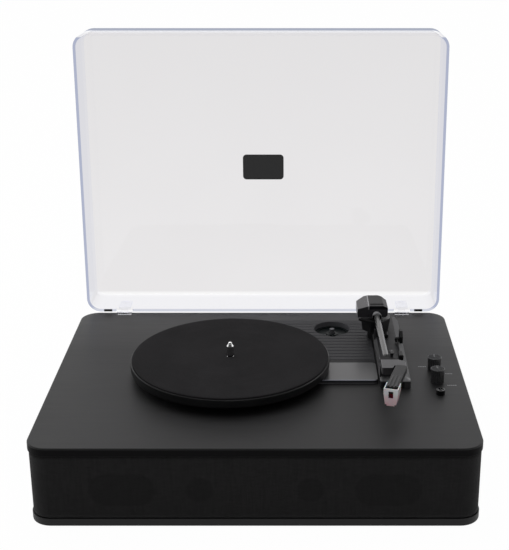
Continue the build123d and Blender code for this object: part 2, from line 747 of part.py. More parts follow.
def make_woofer_cone(side):
    gap = WOOFER_BASKET_WALL + CONE_CLEARANCE
    length = WOOFER_LENGTH - 2 * gap
    height = WOOFER_HEIGHT - 2 * gap
    rim = slab(SlotOverall(length, height), -CONE_RIM_THICKNESS, 0)
    bottom = -CONE_RIM_THICKNESS - CONE_DEPTH
    outer = loft([
        Pos(0, 0, -CONE_RIM_THICKNESS) * SlotOverall(length - CONE_DEPTH, height - CONE_DEPTH),
        Pos(0, 0, bottom) * Circle(CONE_NECK_RADIUS),
    ])
    inner = loft([
        Pos(0, 0, 0) * SlotOverall(length - CONE_DEPTH, height - CONE_DEPTH),
        Pos(0, 0, bottom + CONE_WALL) * Circle(CONE_NECK_RADIUS - CONE_WALL),
    ])
    cap = Pos(0, 0, bottom) * extrude(Circle(CONE_NECK_RADIUS - CONE_WALL / 2), DUST_CAP_HEIGHT)
    cone = rim + outer - inner + cap
    return face_front(cone, side * WOOFER_OFFSET)


def make_tweeter(side):
    radius = TWEETER_RADIUS + TWEETER_FLANGE_WIDTH
    low = -TWEETER_FLANGE_THICKNESS
    body = rod(radius, 0, 0, low, 0)
    body += rod(TWEETER_CAN_RADIUS, 0, 0, low - TWEETER_CAN_DEPTH, low)
    dish = Cone(TWEETER_DOME_RADIUS, TWEETER_RADIUS, TWEETER_DISH_DEPTH)
    body -= Pos(0, 0, -TWEETER_DISH_DEPTH / 2) * dish
    dome_height = TWEETER_DOME_HEIGHT
    sphere = (TWEETER_DOME_RADIUS ** 2 + dome_height ** 2) / (2 * dome_height)
    ball = Pos(0, 0, dome_height - TWEETER_DISH_DEPTH - sphere) * Sphere(sphere)
    column = rod(TWEETER_DOME_RADIUS, 0, 0, -TWEETER_DISH_DEPTH - OVERRUN, 0)
    body += ball & column
    return face_front(body, side * TWEETER_OFFSET)


def board_corners():
    """Places of the four pillars under the circuit board."""
    x = BOARD_WIDTH / 2 - PILLAR_INSET
    y = BOARD_DEPTH / 2 - PILLAR_INSET
    corners = [(sx * x, sy * y) for sx in (-1, 1) for sy in (-1, 1)]
    return [(BOARD_OFFSET_X + cx, BOARD_OFFSET_Y + cy) for cx, cy in corners]


def make_board_pillars():
    bottom = BODY_BOTTOM
    top = BODY_BOTTOM + PILLAR_HEIGHT
    return group([rod(PILLAR_RADIUS, x, y, bottom, top) for x, y in board_corners()])


def make_circuit_board():
    bottom = BODY_BOTTOM + PILLAR_HEIGHT
    top = bottom + BOARD_THICKNESS
    board = centred_block(BOARD_WIDTH, BOARD_DEPTH, BOARD_OFFSET_X, BOARD_OFFSET_Y, bottom, top)
    sink_x = BOARD_OFFSET_X - BOARD_WIDTH / 2 + HEAT_SINK_WIDTH / 2 + PILLAR_INSET
    sink_top = top + HEAT_SINK_HEIGHT
    front = BOARD_OFFSET_Y - HEAT_SINK_DEPTH / 2
    board += block(
        sink_x - HEAT_SINK_WIDTH / 2, sink_x + HEAT_SINK_WIDTH / 2,
        front, front + HEAT_SINK_FIN, top, sink_top,
    )
    step = (HEAT_SINK_WIDTH - HEAT_SINK_FIN) / (HEAT_SINK_FIN_COUNT - 1)
    for index in range(HEAT_SINK_FIN_COUNT):
        left = sink_x - HEAT_SINK_WIDTH / 2 + index * step
        board += block(left, left + HEAT_SINK_FIN, front, front + HEAT_SINK_DEPTH, top, sink_top)
    for index in (0, 1):
        x = BOARD_OFFSET_X + CAPACITOR_SPACING + index * CAPACITOR_SPACING
        board += rod(CAPACITOR_RADIUS, x, BOARD_OFFSET_Y, top, top + CAPACITOR_HEIGHT)
    return board


def socket_bodies():
    """Radius of the body of each socket, from the left seen from the front."""
    return [RCA_RADIUS, RCA_RADIUS, LINE_IN_RADIUS, POWER_INLET_RADIUS]


def make_socket_plate():
    outline = Pos(BOARD_OFFSET_X, SPEAKER_Z) * RectangleRounded(
        SOCKET_PLATE_WIDTH, SOCKET_PLATE_HEIGHT, SOCKET_PLATE_RADIUS
    )
    plate = upright(outline, BODY_BACK, BODY_BACK + SOCKET_PLATE_THICKNESS)
    for index, radius in enumerate(socket_bodies()):
        hole = radius + SOCKET_CLEARANCE
        front = BODY_BACK - OVERRUN
        back = BODY_BACK + SOCKET_PLATE_THICKNESS + OVERRUN
        plate -= rod_along_y(hole, socket_x(index), front, back, SPEAKER_Z)
    return plate


def make_rca_sockets():
    plate_back = BODY_BACK + SOCKET_PLATE_THICKNESS
    sockets = []
    for index in (0, 1):
        x = socket_x(index)
        front = BODY_BACK - SOCKET_BODY_LENGTH
        tip = plate_back + RCA_LENGTH
        socket = rod_along_y(RCA_RADIUS, x, front, tip, SPEAKER_Z)
        collar = RCA_COLLAR_THICKNESS
        socket += rod_along_y(RCA_COLLAR_RADIUS, x, plate_back, plate_back + collar, SPEAKER_Z)
        socket -= rod_along_y(RCA_CORE_RADIUS, x, tip - RCA_CORE_DEPTH, tip + OVERRUN, SPEAKER_Z)
        sockets.append(socket)
    return group(sockets)


def make_line_in_socket():
    x = socket_x(2)
    tip = BODY_BACK + SOCKET_PLATE_THICKNESS + LINE_IN_PROUD
    front = BODY_BACK - SOCKET_BODY_LENGTH
    socket = rod_along_y(LINE_IN_RADIUS, x, front, tip, SPEAKER_Z)
    start = tip - LINE_IN_BORE_DEPTH
    return socket - rod_along_y(LINE_IN_BORE_RADIUS, x, start, tip + OVERRUN, SPEAKER_Z)


def make_power_inlet():
    x = socket_x(3)
    tip = BODY_BACK + SOCKET_PLATE_THICKNESS + POWER_INLET_PROUD
    front = BODY_BACK - SOCKET_BODY_LENGTH
    start = tip - POWER_INLET_DEPTH
    inlet = rod_along_y(POWER_INLET_RADIUS, x, front, tip, SPEAKER_Z)
    inlet -= rod_along_y(POWER_INLET_BORE_RADIUS, x, start, tip + OVERRUN, SPEAKER_Z)
    pin_tip = tip - POWER_INLET_PROUD
    return inlet + rod_along_y(POWER_INLET_PIN_RADIUS, x, start - OVERRUN, pin_tip, SPEAKER_Z)


# Deck insert and what sits in it
def arm_base_outline(margin):
    """Footprint of the tonearm base with the boss round the pivot, grown by a margin."""
    plate = rounded_rectangle(
        ARM_BASE_LEFT - margin, ARM_BASE_RIGHT + margin,
        ARM_BASE_FRONT - margin, ARM_BASE_BACK + margin, ARM_BASE_RADIUS + margin,
    )
    return plate + octagon(ARM_BASE_BOSS + margin)


def octagon(apothem):
    """Octagon round the tonearm pivot with flats to the front and sides."""
    shape = RegularPolygon(apothem, COLUMN_SIDES, major_radius=False, rotation=180 / COLUMN_SIDES)
    return Pos(PIVOT_X, PIVOT_Y) * shape


def make_deck_insert():
    outline = rounded_rectangle(INSERT_LEFT, INSERT_RIGHT, INSERT_FRONT, INSERT_BACK, INSERT_RADIUS)
    insert = slab(outline, DECK_Z, INSERT_TOP)
    gap = INSERT_FIT_GAP
    left = CUTOUT_LEFT + gap
    right = CUTOUT_RIGHT - gap
    front = CUTOUT_FRONT + gap
    back = CUTOUT_BACK - gap
    wall = INSERT_SKIRT_WALL
    floor = rounded_rectangle(left, right, front, back, INSERT_RADIUS - gap)
    inside = rounded_rectangle(left + wall, right - wall, front + wall, back - wall, INSERT_RADIUS - wall)
    insert += slab(floor, DECK_Z - INSERT_DEPTH, DECK_Z)
    insert += slab(floor - inside, DECK_Z - INSERT_SKIRT_DEPTH, DECK_Z)
    for row in range(int((INSERT_BACK - PAD_BACK) / GROOVE_PITCH)):
        y = PAD_BACK + (row + 0.5) * GROOVE_PITCH
        depth = INSERT_TOP - GROOVE_DEPTH
        insert -= centred_block(
            INSERT_RIGHT - INSERT_LEFT - 2 * INSERT_FLANGE, GROOVE_WIDTH,
            (INSERT_LEFT + INSERT_RIGHT) / 2, y, depth, INSERT_TOP + OVERRUN,
        )
    pad = rounded_rectangle(INSERT_LEFT, INSERT_RIGHT, INSERT_FRONT, PAD_BACK, PAD_RADIUS)
    pad_solid = slab(pad, DECK_Z, PAD_TOP)
    insert += fillet(top_edges(pad_solid), PAD_EDGE_RADIUS)
    insert += make_well_cup()
    low = DECK_Z - WELL_DEPTH
    insert -= rod(WELL_RADIUS, WELL_X, WELL_Y, low, INSERT_TOP + OVERRUN)
    notch_front = WELL_Y - WELL_RADIUS - WELL_NOTCH_REACH
    insert -= block(
        WELL_X - WELL_NOTCH_WIDTH / 2, WELL_X + WELL_NOTCH_WIDTH / 2,
        notch_front, WELL_Y - WELL_RADIUS / 2, INSERT_TOP - WELL_NOTCH_REACH / 2, INSERT_TOP + OVERRUN,
    )
    insert += rod(WELL_POST_RADIUS, WELL_X, WELL_Y, low - WELL_FLOOR / 2, INSERT_TOP - WELL_POST_SINK)
    boss = BUSH_RADIUS + BEARING_BOSS_WALL
    boss_bottom = DECK_Z - BEARING_BOSS_DEPTH
    insert += rod(boss, SPINDLE_X, SPINDLE_Y, boss_bottom, PAD_TOP)
    insert -= rod(BUSH_RADIUS, SPINDLE_X, SPINDLE_Y, boss_bottom - OVERRUN, PAD_TOP + OVERRUN)
    hole = PULLEY_FLANGE_RADIUS + PULLEY_HOLE_CLEARANCE
    insert -= rod(hole, MOTOR_X, MOTOR_Y, DECK_Z - OVERRUN - INSERT_DEPTH, INSERT_TOP + OVERRUN)
    for x, y in motor_screw_places():
        insert -= rod(MOTOR_SCREW_RADIUS + SCREW_CLEARANCE, x, y, low, INSERT_TOP + OVERRUN)
    return insert - slab(arm_base_outline(INSERT_FIT_GAP), low, PAD_TOP + OVERRUN)


def make_well_cup():
    """Wall and floor of the round well, before it is hollowed."""
    bottom = DECK_Z - WELL_DEPTH - WELL_FLOOR
    return rod(WELL_RADIUS + WELL_WALL, WELL_X, WELL_Y, bottom, DECK_Z)


def make_adapter():
    """Centre adapter for records with a large hole, lying in its well."""
    radius = WELL_RADIUS - ADAPTER_CLEARANCE
    bottom = DECK_Z - WELL_DEPTH
    top = bottom + ADAPTER_HEIGHT
    disc = rod(radius, WELL_X, WELL_Y, bottom, top)
    dish = top - ADAPTER_STEP
    ring = rod(radius - ADAPTER_RIM, WELL_X, WELL_Y, dish, top + OVERRUN)
    ring -= rod(ADAPTER_BORE_RADIUS + ADAPTER_RIM, WELL_X, WELL_Y, dish - OVERRUN, top + OVERRUN)
    disc -= ring
    return disc - rod(ADAPTER_BORE_RADIUS, WELL_X, WELL_Y, bottom - OVERRUN, top + OVERRUN)


# Platter group
def make_platter():
    bottom = PLATTER_TOP - PLATTER_RIM_HEIGHT
    under = PLATTER_TOP - PLATTER_TOP_THICKNESS
    x = SPINDLE_X
    y = SPINDLE_Y
    platter = rod(PLATTER_RADIUS, x, y, bottom, PLATTER_TOP)
    platter = fillet(platter.edges().filter_by(GeomType.CIRCLE), PLATTER_EDGE_RADIUS)
    platter -= rod(PLATTER_RADIUS - PLATTER_RIM_WALL, x, y, bottom - OVERRUN, under)
    inner = DRIVE_RING_RADIUS - DRIVE_RING_WALL
    ring_bottom = DECK_Z + DRIVE_RING_BOTTOM_RISE
    ring = rod(DRIVE_RING_RADIUS, x, y, ring_bottom, under)
    ring -= rod(inner, x, y, ring_bottom - OVERRUN, under + OVERRUN)
    platter += ring
    platter += rod(HUB_RADIUS, x, y, DECK_Z + HUB_BOTTOM_RISE, under)
    span = inner - HUB_RADIUS + DRIVE_RING_WALL
    middle = (inner + HUB_RADIUS) / 2
    height = under - ring_bottom - PLATTER_RIB_SETBACK
    rib = Pos(middle, 0, under - height / 2) * Box(span, PLATTER_RIB_WALL, height)
    for index in range(PLATTER_RIB_COUNT):
        platter += Pos(x, y, 0) * Rot(0, 0, index * 360 / PLATTER_RIB_COUNT) * rib
    return platter - rod(PLATTER_BORE_RADIUS, x, y, DECK_Z, MAT_TOP)


def make_felt_mat():
    radius = PLATTER_RADIUS - MAT_MARGIN
    mat = rod(radius, SPINDLE_X, SPINDLE_Y, PLATTER_TOP, MAT_TOP)
    hole = SPINDLE_RADIUS + MAT_HOLE_CLEARANCE
    return mat - rod(hole, SPINDLE_X, SPINDLE_Y, PLATTER_TOP - OVERRUN, MAT_TOP + OVERRUN)


def make_spindle():
    """Turned pin with a clip groove above the platter, tapered and rounded at its tip."""
    top = MAT_TOP + SPINDLE_STAND
    shoulder = top - SPINDLE_TIP_LENGTH
    bottom = DECK_Z - SPINDLE_DEPTH
    crown = SPINDLE_TIP_RADIUS
    groove_top = MAT_TOP + SPINDLE_GROOVE_RISE
    groove_bottom = groove_top - SPINDLE_GROOVE_WIDTH
    profile = Polyline(
        (0, bottom), (SPINDLE_RADIUS, bottom),
        (SPINDLE_RADIUS, groove_bottom), (SPINDLE_GROOVE_RADIUS, groove_bottom),
        (SPINDLE_GROOVE_RADIUS, groove_top), (SPINDLE_RADIUS, groove_top),
        (SPINDLE_RADIUS, shoulder), (crown, top - crown),
    )
    tip = RadiusArc((crown, top - crown), (0, top), -crown)
    axis_line = Line((0, top), (0, bottom))
    outline = make_face(profile + tip + axis_line)
    pin = revolve(Plane.XZ * outline, Axis.Z)
    return Pos(SPINDLE_X, SPINDLE_Y, 0) * pin


def make_spindle_bush():
    top = PAD_TOP + BUSH_FLANGE_THICKNESS
    bush = rod(BUSH_FLANGE_RADIUS, SPINDLE_X, SPINDLE_Y, PAD_TOP, top)
    bush += rod(BUSH_RADIUS, SPINDLE_X, SPINDLE_Y, DECK_Z - BEARING_BOSS_DEPTH, top)
    return bush - rod(SPINDLE_RADIUS, SPINDLE_X, SPINDLE_Y, DECK_Z - SPINDLE_DEPTH, top + OVERRUN)


def motor_screw_places():
    """Places of the screws that hold the motor under the insert."""
    places = []
    for index in range(MOTOR_SCREW_COUNT):
        angle = math.radians(index * 360 / MOTOR_SCREW_COUNT)
        x = MOTOR_X + MOTOR_SCREW_CIRCLE * math.cos(angle)
        y = MOTOR_Y + MOTOR_SCREW_CIRCLE * math.sin(angle)
        places.append((x, y))
    return places


def make_motor():
    top = DECK_Z - INSERT_DEPTH
    motor = rod(MOTOR_RADIUS, MOTOR_X, MOTOR_Y, top - MOTOR_HEIGHT, top)
    motor += rod(MOTOR_BOSS_RADIUS, MOTOR_X, MOTOR_Y, top, top + MOTOR_BOSS_HEIGHT)
    radius = MOTOR_SHAFT_RADIUS + RUNNING_CLEARANCE
    motor -= rod(radius, MOTOR_X, MOTOR_Y, top - MOTOR_HEIGHT / 2, INSERT_TOP + PAD_RISE)
    depth = INSERT_TOP - MOTOR_SCREW_LENGTH - OVERRUN
    for x, y in motor_screw_places():
        motor -= rod(MOTOR_SCREW_RADIUS + SCREW_CLEARANCE, x, y, depth, top + OVERRUN)
    return motor


def make_motor_screws():
    screws = []
    for x, y in motor_screw_places():
        screw = rod(MOTOR_SCREW_RADIUS, x, y, INSERT_TOP - MOTOR_SCREW_LENGTH, INSERT_TOP)
        screw += rod(MOTOR_SCREW_HEAD_RADIUS, x, y, INSERT_TOP, INSERT_TOP + MOTOR_SCREW_HEAD_HEIGHT)
        screws.append(screw)
    return group(screws)


def make_motor_pulley():
    bottom = DECK_Z + PULLEY_BOTTOM_RISE
    belt_bottom = DECK_Z + BELT_BOTTOM_RISE - BELT_GAP
    belt_top = DECK_Z + BELT_BOTTOM_RISE + BELT_HEIGHT + BELT_GAP
    top = belt_top + PULLEY_FLANGE_THICKNESS
    pulley = rod(PULLEY_RADIUS, MOTOR_X, MOTOR_Y, bottom, top)
    pulley += rod(PULLEY_FLANGE_RADIUS, MOTOR_X, MOTOR_Y, bottom, belt_bottom)
    pulley += rod(PULLEY_FLANGE_RADIUS, MOTOR_X, MOTOR_Y, belt_top, top)
    shaft_end = DECK_Z - INSERT_DEPTH - MOTOR_HEIGHT / 2 + OVERRUN
    return pulley + rod(MOTOR_SHAFT_RADIUS, MOTOR_X, MOTOR_Y, shaft_end, bottom)


def belt_outline(gap):
    """Outline of a loop round the drive ring and the pulley, clear of both by a gap."""
    ring = Pos(SPINDLE_X, SPINDLE_Y) * Circle(DRIVE_RING_RADIUS + gap)
    wheel = Pos(MOTOR_X, MOTOR_Y) * Circle(PULLEY_RADIUS + gap)
    return make_hull(ring.edges() + wheel.edges())


def make_drive_belt():
    band = belt_outline(BELT_GAP + BELT_THICKNESS) - belt_outline(BELT_GAP)
    bottom = DECK_Z + BELT_BOTTOM_RISE
    return slab(band, bottom, bottom + BELT_HEIGHT)


# Tonearm base and its fixed parts
def bevelled_block(left, right, front, back, radius):
    """Moulding with upright walls and a wide bevel round its top, narrower at the left."""
    wall_top = DECK_Z + ARM_BASE_WALL_RISE
    foot = rounded_rectangle(left, right, front, back, radius)
    bevel = ARM_BASE_BEVEL
    roof = rounded_rectangle(left + ARM_BASE_LEFT_BEVEL, right - bevel, front + bevel, back - bevel, radius)
    body = slab(foot, DECK_Z, wall_top)
    return body + loft([Pos(0, 0, wall_top) * foot, Pos(0, 0, ARM_BASE_TOP) * roof])


def make_tonearm_base():
    base = bevelled_block(ARM_BASE_LEFT, ARM_BASE_RIGHT, ARM_BASE_FRONT, ARM_BASE_BACK, ARM_BASE_RADIUS)
    width = 2 * ARM_BASE_BACK_RADIUS
    corner = Pos(ARM_BASE_RIGHT, ARM_BASE_BACK) * Rectangle(width, width)
    centre_x = ARM_BASE_RIGHT - ARM_BASE_BACK_RADIUS
    centre_y = ARM_BASE_BACK - ARM_BASE_BACK_RADIUS
    round_end = Pos(centre_x, centre_y) * Circle(ARM_BASE_BACK_RADIUS)
    base -= slab(corner - round_end, DECK_Z - OVERRUN, ARM_BASE_TOP + OVERRUN)
    base += slab(octagon(ARM_BASE_BOSS), DECK_Z, ARM_BASE_TOP)
    shell = ARM_BASE_SHELL
    roof = ARM_BASE_TOP - shell
    hollow = block(
        ARM_BASE_LEFT + 2 * shell, ARM_BASE_RIGHT - ARM_BASE_BEVEL,
        ARM_BASE_FRONT + ARM_BASE_BEVEL, PIVOT_Y - COLUMN_TOP_APOTHEM - shell, DECK_Z - OVERRUN, roof,
    )
    base -= hollow
    base -= rod(PIVOT_BUSH_RADIUS, PIVOT_X, PIVOT_Y, DECK_Z - OVERRUN, ARM_BASE_TOP + OVERRUN)
    lift_x, lift_y = cue_lift_place()
    guide = CUE_LIFT_SHAFT_RADIUS + CUE_LIFT_GUIDE_WALL
    guide_top = DECK_Z + CUE_LIFT_GUIDE_RISE
    base += rod(guide, lift_x, lift_y, DECK_Z, guide_top)
    bore = CUE_LIFT_SHAFT_RADIUS + RUNNING_CLEARANCE
    base -= rod(bore, lift_x, lift_y, DECK_Z - OVERRUN, guide_top + OVERRUN)
    slot_length = SWITCH_STEM_LENGTH + 2 * SWITCH_TRAVEL + 2 * SWITCH_GAP
    slot_width = SWITCH_STEM_WIDTH + 2 * SWITCH_GAP
    slot_top = ARM_BASE_TOP + OVERRUN
    base -= centred_block(slot_width, slot_length, SWITCH_X, SWITCH_Y, roof - OVERRUN, slot_top)
    return base


def make_pivot_column():
    foot = Pos(0, 0, ARM_BASE_TOP) * octagon(COLUMN_FOOT_APOTHEM)
    ledge_bottom = COLUMN_TOP - COLUMN_LEDGE
    head = Pos(0, 0, ledge_bottom) * octagon(COLUMN_TOP_APOTHEM)
    column = loft([foot, head]) + slab(octagon(COLUMN_TOP_APOTHEM), ledge_bottom, COLUMN_TOP)
    return column - rod(PIVOT_BUSH_RADIUS, PIVOT_X, PIVOT_Y, ARM_BASE_TOP - OVERRUN, COLUMN_TOP + OVERRUN)


def make_pivot_bush():
    bottom = DECK_Z + YOKE_SHAFT_BOTTOM_RISE
    bush = rod(PIVOT_BUSH_RADIUS, PIVOT_X, PIVOT_Y, bottom, COLUMN_TOP)
    bore = YOKE_SHAFT_RADIUS + RUNNING_CLEARANCE
    return bush - rod(bore, PIVOT_X, PIVOT_Y, bottom - OVERRUN, COLUMN_TOP + OVERRUN)


def arm_place(solid):
    """Moves a part drawn about the pivot, with the arm along -Y, to its rest position."""
    return Pos(PIVOT_X, PIVOT_Y, PIVOT_Z) * Rot(0, 0, ARM_REST_DEG) * solid


def make_arm_rest():
    """Grey post under the tube, open to the left and with an ear at the right."""
    bottom = ARM_BASE_TOP - PIVOT_Z
    seat = REST_GAP + TUBE_RADIUS
    front = -REST_DISTANCE - REST_LENGTH / 2
    back = -REST_DISTANCE + REST_LENGTH / 2
    post = block(-REST_LEFT, REST_RIGHT, front, back, bottom, -TUBE_RADIUS / 2)
    ear_top = DECK_Z + REST_EAR_RISE - PIVOT_Z
    post += block(REST_RIGHT - REST_EAR, REST_RIGHT, front, back, bottom, ear_top)
    post -= rod_along_y(seat, 0, front - OVERRUN, back + OVERRUN, 0)
    post -= block(-REST_LEFT - OVERRUN, 0, front - OVERRUN, back + OVERRUN, -seat, 0)
    pin_x = REST_RIGHT - REST_EAR / 2
    pin_top = ear_top + LATCH_GAP + LATCH_THICKNESS
    post += rod(LATCH_PIN_RADIUS, pin_x, -REST_DISTANCE, ear_top - OVERRUN, pin_top)
    return arm_place(post)


def make_arm_latch():
    """Flat latch on the ear of the arm rest, turned forward out of the tube's way."""
    x = REST_RIGHT - REST_EAR / 2
    bottom = DECK_Z + REST_EAR_RISE - PIVOT_Z + LATCH_GAP
    top = bottom + LATCH_THICKNESS
    y = -REST_DISTANCE
    hub = rod(LATCH_WIDTH / 2, x, y, bottom, top)
    tongue = polygon([
        (x - LATCH_WIDTH / 2, y),
        (x - LATCH_TIP_WIDTH / 2, y - LATCH_LENGTH),
        (x + LATCH_TIP_WIDTH / 2, y - LATCH_LENGTH),
        (x + LATCH_WIDTH / 2, y),
    ])
    latch = hub + slab(tongue, bottom, top)
    bore = LATCH_PIN_RADIUS + RUNNING_CLEARANCE
    return arm_place(latch - rod(bore, x, y, bottom - OVERRUN, top + OVERRUN))


# Tonearm, drawn about the pivot with the arm along -Y
def make_swivel_yoke():
    disc_bottom = COLUMN_TOP + YOKE_GAP - PIVOT_Z
    disc_top = disc_bottom + YOKE_DISC_THICKNESS
    shaft_bottom = DECK_Z + YOKE_SHAFT_BOTTOM_RISE - PIVOT_Z
    yoke = rod(YOKE_DISC_RADIUS, 0, 0, disc_bottom, disc_top)
    yoke += rod(YOKE_SHAFT_RADIUS, 0, 0, shaft_bottom, disc_bottom)
    half = YOKE_CHEEK_LENGTH / 2
    for side in (-1, 1):
        x = side * YOKE_CHEEK_OFFSET
        yoke += centred_block(YOKE_CHEEK_THICKNESS, 2 * half, x, 0, disc_bottom, YOKE_CHEEK_TOP)
    reach = YOKE_CHEEK_OFFSET + YOKE_CHEEK_THICKNESS
    yoke -= rod_along_x(PIVOT_PIN_RADIUS + RUNNING_CLEARANCE, -reach, reach, 0, 0)
    return arm_place(yoke)


def housing_sides():
    """Left and right side of the rear housing."""
    return HOUSING_SHIFT - HOUSING_WIDTH / 2, HOUSING_SHIFT + HOUSING_WIDTH / 2


def make_pivot_pin():
    left, right = housing_sides()
    return arm_place(rod_along_x(PIVOT_PIN_RADIUS, left + HOUSING_WALL, right - HOUSING_WALL, 0, 0))


def weight_places():
    """Places along X of the round weights in the rear of the housing."""
    left, right = housing_sides()
    middle = (left + right) / 2
    return [middle + step * (2 * WEIGHT_RADIUS + HOUSING_WALL / 2) for step in (-1, 0, 1)]


def make_arm_housing():
    left, right = housing_sides()
    top = HOUSING_TOP
    facet = HOUSING_FACET_WIDTH
    chamfer_side = HOUSING_SIDE_CHAMFER
    section = polygon([
        (left, -HOUSING_BOTTOM),
        (left, top - HOUSING_FACET_DROP),
        (left + facet, top),
        (right - 2 * chamfer_side, top),
        (right, top - chamfer_side),
        (right, chamfer_side - HOUSING_BOTTOM),
        (right - chamfer_side, -HOUSING_BOTTOM),
    ])
    housing = upright(section, -HOUSING_FRONT, HOUSING_REAR)
    cut = HOUSING_REAR_CHAMFER
    back = HOUSING_REAR
    plan = polygon([
        (left - OVERRUN, -HOUSING_FRONT - OVERRUN),
        (right + OVERRUN, -HOUSING_FRONT - OVERRUN),
        (right + OVERRUN, back - cut - OVERRUN),
        (right - cut, back),
        (left + cut, back),
        (left - OVERRUN, back - cut - OVERRUN),
    ])
    housing &= slab(plan, -HOUSING_BOTTOM - OVERRUN, top + OVERRUN)
    housing -= block(
        -CAVITY_HALF_WIDTH, CAVITY_HALF_WIDTH, -CAVITY_FRONT, CAVITY_REAR,
        -HOUSING_BOTTOM - OVERRUN, top - HOUSING_WALL,
    )
    housing -= rod_along_x(PIVOT_PIN_RADIUS, left + HOUSING_WALL, right - HOUSING_WALL, 0, 0)
    housing -= rod_along_y(TUBE_RADIUS + TUBE_FIT, 0, -HOUSING_FRONT - OVERRUN, -CAVITY_FRONT + OVERRUN, 0)
    slot_centre = (left + facet + right - 2 * chamfer_side) / 2
    slot_y = -HOUSING_FRONT + HOUSING_SLOT_SETBACK
    housing -= centred_block(
        HOUSING_SLOT_LENGTH, HOUSING_SLOT_WIDTH, slot_centre, slot_y,
        top - HOUSING_SLOT_DEPTH, top + OVERRUN,
    )
    bore = WEIGHT_RADIUS + WEIGHT_CLEARANCE
    for x in weight_places():
        housing -= rod_along_y(bore, x, CAVITY_REAR, CAVITY_REAR + WEIGHT_LENGTH, weight_level())
    return arm_place(housing)


def weight_level():
    """Height of the weights' axes above the pivot."""
    return (HOUSING_TOP - HOUSING_FACET_DROP - HOUSING_BOTTOM) / 2


def make_counterweights():
    weights = []
    for x in weight_places():
        weight = rod_along_y(WEIGHT_RADIUS, x, CAVITY_REAR, CAVITY_REAR + WEIGHT_LENGTH, weight_level())
        weights.append(arm_place(weight))
    return group(weights)


def make_arm_collar():
    """Grey cone at the housing's face with the dark ring in front of it."""
    start = -HOUSING_FRONT
    middle = start - COLLAR_LENGTH
    cone = Cone(COLLAR_FRONT_RADIUS, COLLAR_BACK_RADIUS, COLLAR_LENGTH)
    collar = Pos(0, (start + middle) / 2, 0) * Rot(-90, 0, 0) * cone
    bore = TUBE_RADIUS + TUBE_FIT
    return arm_place(collar - rod_along_y(bore, 0, middle - OVERRUN, start + OVERRUN, 0))


def make_collar_ring():
    back = -HOUSING_FRONT - COLLAR_LENGTH
    front = back - COLLAR_RING_LENGTH
    ring = rod_along_y(COLLAR_RING_RADIUS, 0, front, back, 0)
    bore = TUBE_RADIUS + TUBE_FIT
    return arm_place(ring - rod_along_y(bore, 0, front - OVERRUN, back + OVERRUN, 0))


def make_arm_tube():
    tube = rod_along_y(TUBE_RADIUS, 0, -TUBE_END, -TUBE_START, 0)
    bore = TUBE_RADIUS - TUBE_WALL
    return arm_place(tube - rod_along_y(bore, 0, -TUBE_END - OVERRUN, -TUBE_START + OVERRUN, 0))


def make_tube_ring():
    ring = rod_along_y(TUBE_RING_RADIUS, 0, -TUBE_RING_END, -TUBE_RING_START, 0)
    bore = TUBE_RADIUS + TUBE_FIT
    return arm_place(ring - rod_along_y(bore, 0, -TUBE_RING_END - OVERRUN, -TUBE_RING_START + OVERRUN, 0))


def head_place(solid):
    """Moves a part drawn about the headshell's front middle, with its front at -Y, to the arm."""
    turn = Rot(0, 0, -HEADSHELL_DEG)
    return arm_place(Pos(HEADSHELL_FRONT_SHIFT, -HEADSHELL_FRONT, 0) * turn * solid)


def headshell_outline():
    """Outline of the headshell's plate, seen from above."""
    half = HEADSHELL_WIDTH / 2
    return rounded_rectangle(-half, half, 0, HEADSHELL_LENGTH, HEADSHELL_RADIUS)


def make_headshell():
    top = HEADSHELL_TOP
    under = top - HEADSHELL_PLATE
    shell = slab(headshell_outline(), under, top)
    half = HEADSHELL_WIDTH / 2
    wall = HEADSHELL_SIDE_WALL
    low = top - HEADSHELL_SIDE_DEPTH
    back = HEADSHELL_LENGTH - HEADSHELL_RADIUS
    for side in (-1, 1):
        inner = side * (half - wall)
        outer = side * half
        shell += block(min(inner, outer), max(inner, outer), HEADSHELL_RADIUS, back, low, under)
    for index in range(HEADSHELL_RIB_COUNT):
        x = (index - (HEADSHELL_RIB_COUNT - 1) / 2) * HEADSHELL_RIB_PITCH
        rib_top = top + HEADSHELL_RIB_HEIGHT
        width = HEADSHELL_RIB_WIDTH
        shell += block(x - width / 2, x + width / 2, width, HEADSHELL_RIB_LENGTH, top, rib_top)
    return head_place(shell)


def make_arm_elbow():
    """Flat moulding that takes the end of the tube and carries the headshell."""
    outline = polygon([
        (-TUBE_RING_RADIUS, -ELBOW_START),
        (-ELBOW_INNER, -ELBOW_START - ELBOW_INNER / 2),
        (-ELBOW_INNER, -ELBOW_CORNER),
        (TUBE_RING_RADIUS, -ELBOW_CORNER),
        (ELBOW_NOTCH, ELBOW_NOTCH_DEPTH - ELBOW_CORNER),
        (ELBOW_OUTER, -ELBOW_REACH),
        (ELBOW_OUTER, -ELBOW_START - ELBOW_FLANK_LENGTH),
        (ELBOW_SHOULDER, -ELBOW_START - ELBOW_SHOULDER_LENGTH),
        (TUBE_RING_RADIUS, -ELBOW_START),
    ])
    elbow = slab(outline, -ELBOW_BOTTOM, ELBOW_TOP)
    elbow = fillet(elbow.edges().filter_by(Axis.Z), HEADSHELL_RADIUS / 3)
    elbow -= rod_along_y(TUBE_RADIUS + TUBE_FIT, 0, -TUBE_END, -ELBOW_START + OVERRUN, 0)
    elbow = arm_place(elbow)
    low = HEADSHELL_TOP - HEADSHELL_SIDE_DEPTH
    return elbow - head_place(slab(headshell_outline(), low, HEADSHELL_TOP + OVERRUN))


